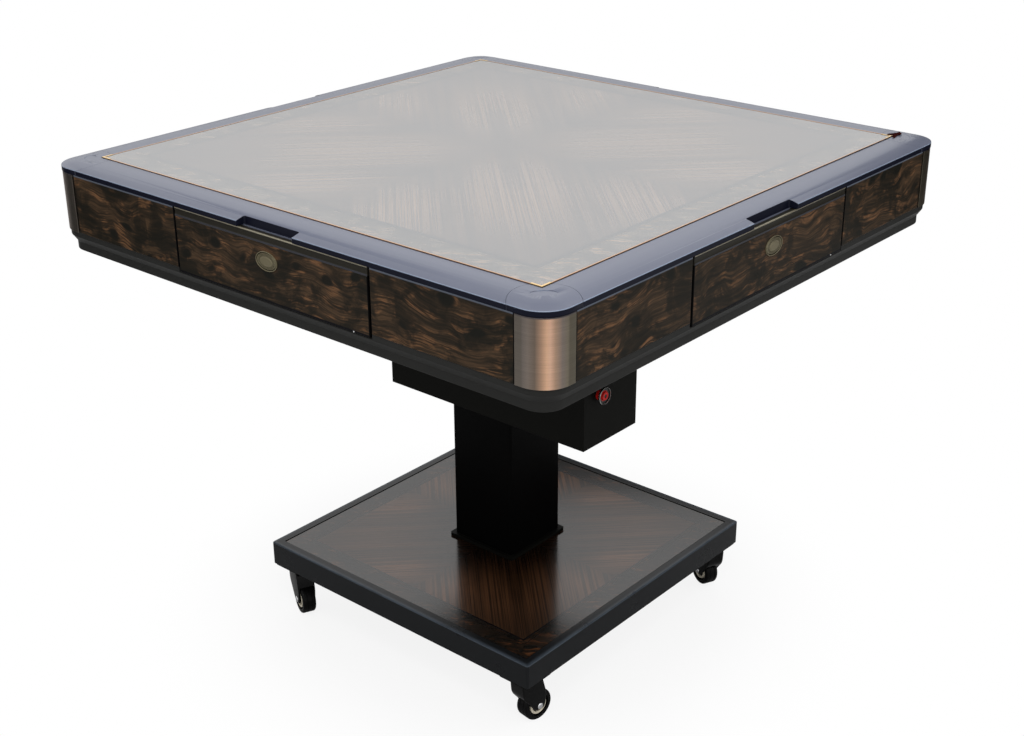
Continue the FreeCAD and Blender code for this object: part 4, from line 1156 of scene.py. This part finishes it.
def makeBadgeTree(v):
    # dark ticks all round an oval, lying in XY and standing up along Z
    tree, given, result = newMaker("badgeOrnament", {"Rim Length": v["badgeLength"], "Rim Width": v["badgeWidth"]},
                                   ("Tick Count", "Int", v["ticks"]))
    # a circle of diameter 1, stretched to the ticks' oval
    circle = firstOf(tree, "GeometryNodeCurvePrimitiveCircle", {"Radius": 0.5, "Resolution": v["ovalSteps"]})
    size = [maths(tree, "MULTIPLY", given[way], share)
            for way, share in zip(("Rim Length", "Rim Width"), v["tickOval"])]
    line = transformed(tree, circle, scale=vectorOf(tree, *size, 1.0))
    points = addNode(tree, "GeometryNodeCurveToPoints", {"Curve": line, "Count": given["Tick Count"]},
                     mode="COUNT").outputs
    ticks = instanced(tree, points["Points"], cubeNode(tree, *v["tickSize"]), Rotation=points["Rotation"])
    ticks = transformed(tree, ticks, (0, 0, v["tickLift"] * mm))
    tree.links.new(coloured(tree, realized(tree, ticks), "badgeShade"), result[0])
    return tree


def ovalRing(name, outer, inner, high, finish, arris=0.25, steps=72):
    # a flat oval ring, or a plate when inner is None; sizes are full lengths in millimetres
    shape = bmesh.new()

    def ring(size, height, shrink=0.0):
        return oval(shape, size[0] / 2 - shrink, size[1] / 2 - shrink, height, steps)

    rings = [ring(outer, 0), ring(outer, high - arris), ring(outer, high, arris)]
    if inner:
        rings += [ring(inner, high, -arris), ring(inner, high - arris), ring(inner, 0), rings[0]]
    bridged(shape, rings)
    if not inner:
        capped(shape, rings)
    return closedFrom(shape, name, finish)


def makeBadge(v, side, turn, middle, badgeTree, body):
    stand = turn @ Matrix.Translation(middle) @ turned(90, "X")
    rim, boss = v["badgeRim"], (v["bossLength"], v["bossWidth"])

    def within(inset):
        return (v["badgeLength"] - 2 * inset, v["badgeWidth"] - 2 * inset)

    mesh = joinedMesh("badge_" + side, [
        ovalRing("badgeRim", within(0), within(rim), v["badgeThick"], "paleBrass"),
        ovalRing("badgeBack", within(rim / 2), None, v["backThick"], "badgeShade", v["backRound"]),
        ovalRing("badgeField", within(rim + v["groove"]), None, v["fieldThick"], "paleBrass", v["fieldRound"]),
        ovalRing("badgeBoss", boss, None, v["bossThick"], "paleBrass", v["bossRound"]),
    ])
    mesh.transform(stand)
    addPiece("drawerBadge_" + side, smoothed(mesh), body, "pull_metal", "drawer_trim_" + side)
    ornament = grown("badgeOrnament_" + side, pointCloud("badgePoint", [(0, 0, 0)]), badgeTree, body, "pull_metal",
                     "drawer_trim_" + side)
    ornament.data.transform(stand)
    pin = turnedShape("latchPin", v["pin"], ["brightSteel"], v["pinSides"])
    frontLow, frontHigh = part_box("drawer_front_front")
    place = (frontHigh.x - v["pinInset"] * mm, middle.y, frontLow.z + v["pinLift"] * mm)
    pin.transform(turn @ facing(place, (0, -1, 0)))
    addPiece("latchPin_" + side, pin, body, "zinc_sheet", "drawer_trim_" + side)


makePulls(pullValues)
print("drawer pulls and badges made")


# lift strap: webbing that stands in its notch, lies out over the rail and folds back in a small loop

strapValues = {
    "width": 4.6, "thick": 0.8, "round": 0.4, "roundSteps": 3, "foot": 1.0, "lift": 0.5,
    "stitchPitch": 1.7, "stitchIn": 0.9, "stitchSize": (0.35, 0.3, 0.95),
    # the path above its foot: (along the rail, outwards, up), from the notch and the rail's top
    "path": ((0, 0.05, -6.0), (0, 0.1, -1.5),
             (1.2, 1.2, 0.1), (4.0, 4.0, 0.3), (8.0, 9.0, 0.5), (11.0, 16.0, 0.7), (12.0, 18.0, 1.3),
             (12.2, 16.5, 1.9), (11.2, 10.0, 1.6), (11.4, 3.0, 1.2), (12.6, -3.0, 0.9), (14.2, -8.5, 0.5)),
}


def makeStrapTree(v):
    tree, given, result = newMaker("stitchedStrap", {
        "Width": v["width"], "Thickness": v["thick"],
        "Stitch Pitch": v["stitchPitch"], "Stitch Inset": v["stitchIn"]})
    times, minus = operations(tree, "MULTIPLY", "SUBTRACT")
    width, thick = given["Width"], given["Thickness"]
    path = firstOf(tree, "GeometryNodeMeshToCurve", {"Mesh": given["Geometry"]})
    path = firstOf(tree, "GeometryNodeCurveSplineType", {"Curve": path}, spline_type="CATMULL_ROM")
    band = firstOf(tree, "GeometryNodeCurvePrimitiveQuadrilateral", {"Width": width, "Height": thick},
                   mode="RECTANGLE")
    band = firstOf(tree, "GeometryNodeFilletCurve", {
        "Curve": band, "Radius": times(thick, v["round"]), "Count": v["roundSteps"]}, mode="POLY")
    strap = firstOf(tree, "GeometryNodeCurveToMesh", {"Curve": path, "Profile Curve": band, "Fill Caps": True})
    points = addNode(tree, "GeometryNodeCurveToPoints", {"Curve": path, "Length": given["Stitch Pitch"]},
                     mode="LENGTH").outputs
    stitch = cubeNode(tree, *v["stitchSize"])
    rim, face = minus(times(width, 0.5), given["Stitch Inset"]), times(thick, 0.5)
    four = joinedNodes(tree, *[transformed(tree, stitch, vectorOf(tree, times(rim, b), times(face, a)))
                               for a in (-1, 1) for b in (-1, 1)])
    stitches = realized(tree, instanced(tree, points["Points"], four, Rotation=points["Rotation"]))
    both = realized(tree, joinedNodes(tree, strap, marked(tree, stitches, "stitch")))
    both = coloured(tree, coloured(tree, both, "redRibbon"), "strapStitch", "stitch")
    tree.links.new(both, result[0])
    return tree


def makeStrap(v):
    low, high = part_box("cover_lift_strap")
    x, y = (low.x + high.x) / 2, low.y + v["thick"] / 2 * mm
    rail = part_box("rail_back")[1].z + v["lift"] * mm
    path = [(x, y, low.z + v["foot"] * mm)] + [(x + a * mm, y + b * mm, rail + c * mm) for a, b, c in v["path"]]
    mesh = bpy.data.meshes.new("strapPath")
    mesh.from_pydata(path, [(k, k + 1) for k in range(len(path) - 1)], [])
    grown("liftStrap", mesh, makeStrapTree(v), "cover", "red_ribbon", "cover_lift_strap")


makeStrap(strapValues)
print("lift strap made")


# push switch: red collar, thin bright ring with a dark inside, red button with a dark middle

switchValues = {"ring": 12.0, "ringWall": 0.7, "ringInside": 7.5, "ringFloor": 1.0,
                "ringSides": 64, "chamfer": 0.4, "ease": 0.1,
                "buttonRound": 0.8, "dimple": 2.4, "dimpleSunk": (1.2, 1.0, 0.3), "dimpleSlope": (0.2, 0.8)}


def makeSwitch(v):
    low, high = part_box("switch_bezel")
    axis = Vector((0, (low.y + high.y) / 2, (low.z + high.z) / 2))
    depth = (high.x - low.x) / mm
    out, wall, inside, floor = v["ring"], v["ring"] - v["ringWall"], v["ringInside"], v["ringFloor"]
    shoulder, ease = depth - v["chamfer"], v["ease"]
    ring = turnedShape("switchRing", [
        (out, 0, 0), (out, shoulder, 0), (out - 2 * ease, depth - ease, 0), ((out + wall) / 2, depth, 0),
        (wall + ease, depth - ease, 0), (wall, shoulder, 1), (wall, floor, 1), (inside, floor, 1), (inside, 0, 0)],
        ["chromeRing", "inletPlastic"], v["ringSides"], closed=True)
    ring.transform(facing(axis + Vector((low.x, 0, 0)), (1, 0, 0)))
    addPiece("switchRing", ring, "table", "chrome_ring", "switch_bezel")
    low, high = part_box("switch_button")
    depth, radius = (high.x - low.x) / mm, (high.y - low.y) / 2 / mm
    arc, dimple = v["buttonRound"], v["dimple"]
    (middle, rim, lip), (start, end) = v["dimpleSunk"], v["dimpleSlope"]
    profile = [(0, depth - middle, 1), (dimple, depth - rim, 1), (dimple + start, depth - lip, 0),
               (dimple + end, depth, 0)]
    profile += arcOf(radius - arc, depth - arc, arc, arc) + [(radius, 0, 0), (0, 0, 0)]
    button = turnedShape("switchButton", profile, ["redPlastic", "inletPlastic"])
    button.transform(facing(axis + Vector((low.x, 0, 0)), (1, 0, 0)))
    addPiece("switchButton", button, bodyOf["switch_button"], "red_plastic", "switch_button")


makeSwitch(switchValues)
print("switch made")


# rails: pale crown, arris and recess walls in painted highlight, and lip, notch floor and downward faces in
# painted shade, told apart by which way their faces look

railValues = {
    "cornerAxis": 0.425, "lipStart": 0.449, "lipHeight": 16.0, "notchHalf": 0.08, "roundReach": 1.2,
    "arris": (0.3, 2, 50),  # width, steps, angle
    "recessMiddle": 0.424, "recessReach": 0.0165, "pocketHalf": 0.4136, "shoulder": 8.0,
    "outwards": 0.5, "upright": 0.35, "flat": 0.9, "roundTilt": (0.02, 0.93),  # parts of a face's normal
}


def addSoft(node, mesh, width, segments=3, angle=30.0):
    piece = addPiece("soft_" + node, mesh, bodyOf[node], slotOf[node], node)
    if width:
        addBevel(piece, width, segments, angle)


def makeRails(v):
    # each face takes its finish from where it is and which way it looks
    for node in ["rail_" + side for side in sideTurns] + ["rail_corner_blocks"]:
        mesh = painted(mergedCopy(node), "slateRail", "railLip", "railEdge")
        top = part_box(node)[1].z
        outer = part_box("rail_corner_blocks")[1].x
        for face in mesh.polygons:
            middle, axis, tilt = face.center, v["cornerAxis"], face.normal.z
            ax, ay = abs(middle.x), abs(middle.y)
            reach = max(ax, ay) if min(ax, ay) < axis else axis + math.hypot(ax - axis, ay - axis)
            outside, nearNotch = reach > v["lipStart"], min(ax, ay) < v["notchHalf"]
            upright, deep = abs(tilt) < v["upright"], middle.z < top - v["shoulder"] * mm
            # ends that butt against the next piece look along the rail and stay pale; the notch's sides don't
            away = abs(face.normal.dot(middle.xy.to_3d().normalized())) > v["outwards"] or nearNotch
            lip = outside and away and upright and middle.z > top - v["lipHeight"] * mm
            notchFloor = outside and nearNotch and tilt > v["flat"] and deep
            leaning = v["roundTilt"][0] < tilt < v["roundTilt"][1]
            rounded = reach > outer - v["roundReach"] * mm and leaning and not deep
            fromRecess = math.hypot(ax - v["recessMiddle"], ay - v["recessMiddle"])
            recess = fromRecess < v["recessReach"] and upright and min(ax, ay) > v["pocketHalf"]
            # painted highlight on the arris and the recess walls
            if rounded or recess:
                face.material_index = 2
            # painted shade on the lip, the notch floor and the faces that look down
            elif lip or notchFloor or tilt < -v["upright"]:
                face.material_index = 1
        addSoft(node, mesh, *v["arris"])


makeRails(railValues)
print("rails made")


# every other node, with small round arrises of these widths

arrisValues = {
    "side_panels": 0.9, "drawer_front": 0.9, "cover_board": 0.4, "cover_edge_trim": 0.4, "cover_corner_caps": 0.5,
    "housing_box": 1.2, "column_flanges": 0.8, "caster_plates": 0.6, "drawer_box": 0.6, "play_surface": 0.5,
    "corner_plates": 0.5, "skirt_frame": 0.4, "base_rim": 0.9, "base_board": 0.3, "turntable": 0.4,
    "control_disc": 0.4, "tile_lifter": 0.6, "switch_": 0.2, "power_inlet": 0.3, "drive_wheel": 0.3,
    "shuffle_motor": 0.5, "power_supply": 0.5,
}
modelled = ("mounting_screws", "caster_fork", "caster_wheel", "drawer_trim", "cover_lift_strap", "rail_",
            "switch_bezel", "switch_button")
for node in sorted(nodes):
    if not node.startswith(modelled):
        width = next((w for start, w in arrisValues.items() if node.startswith(start)), 0.0)
        addSoft(node, mergedCopy(node), width)
print("arrises softened")

sizes = {"cadLow": list(cadLow), "cadHigh": list(cadHigh)}
sizes["low"], sizes["high"] = [list(corner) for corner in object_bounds()]
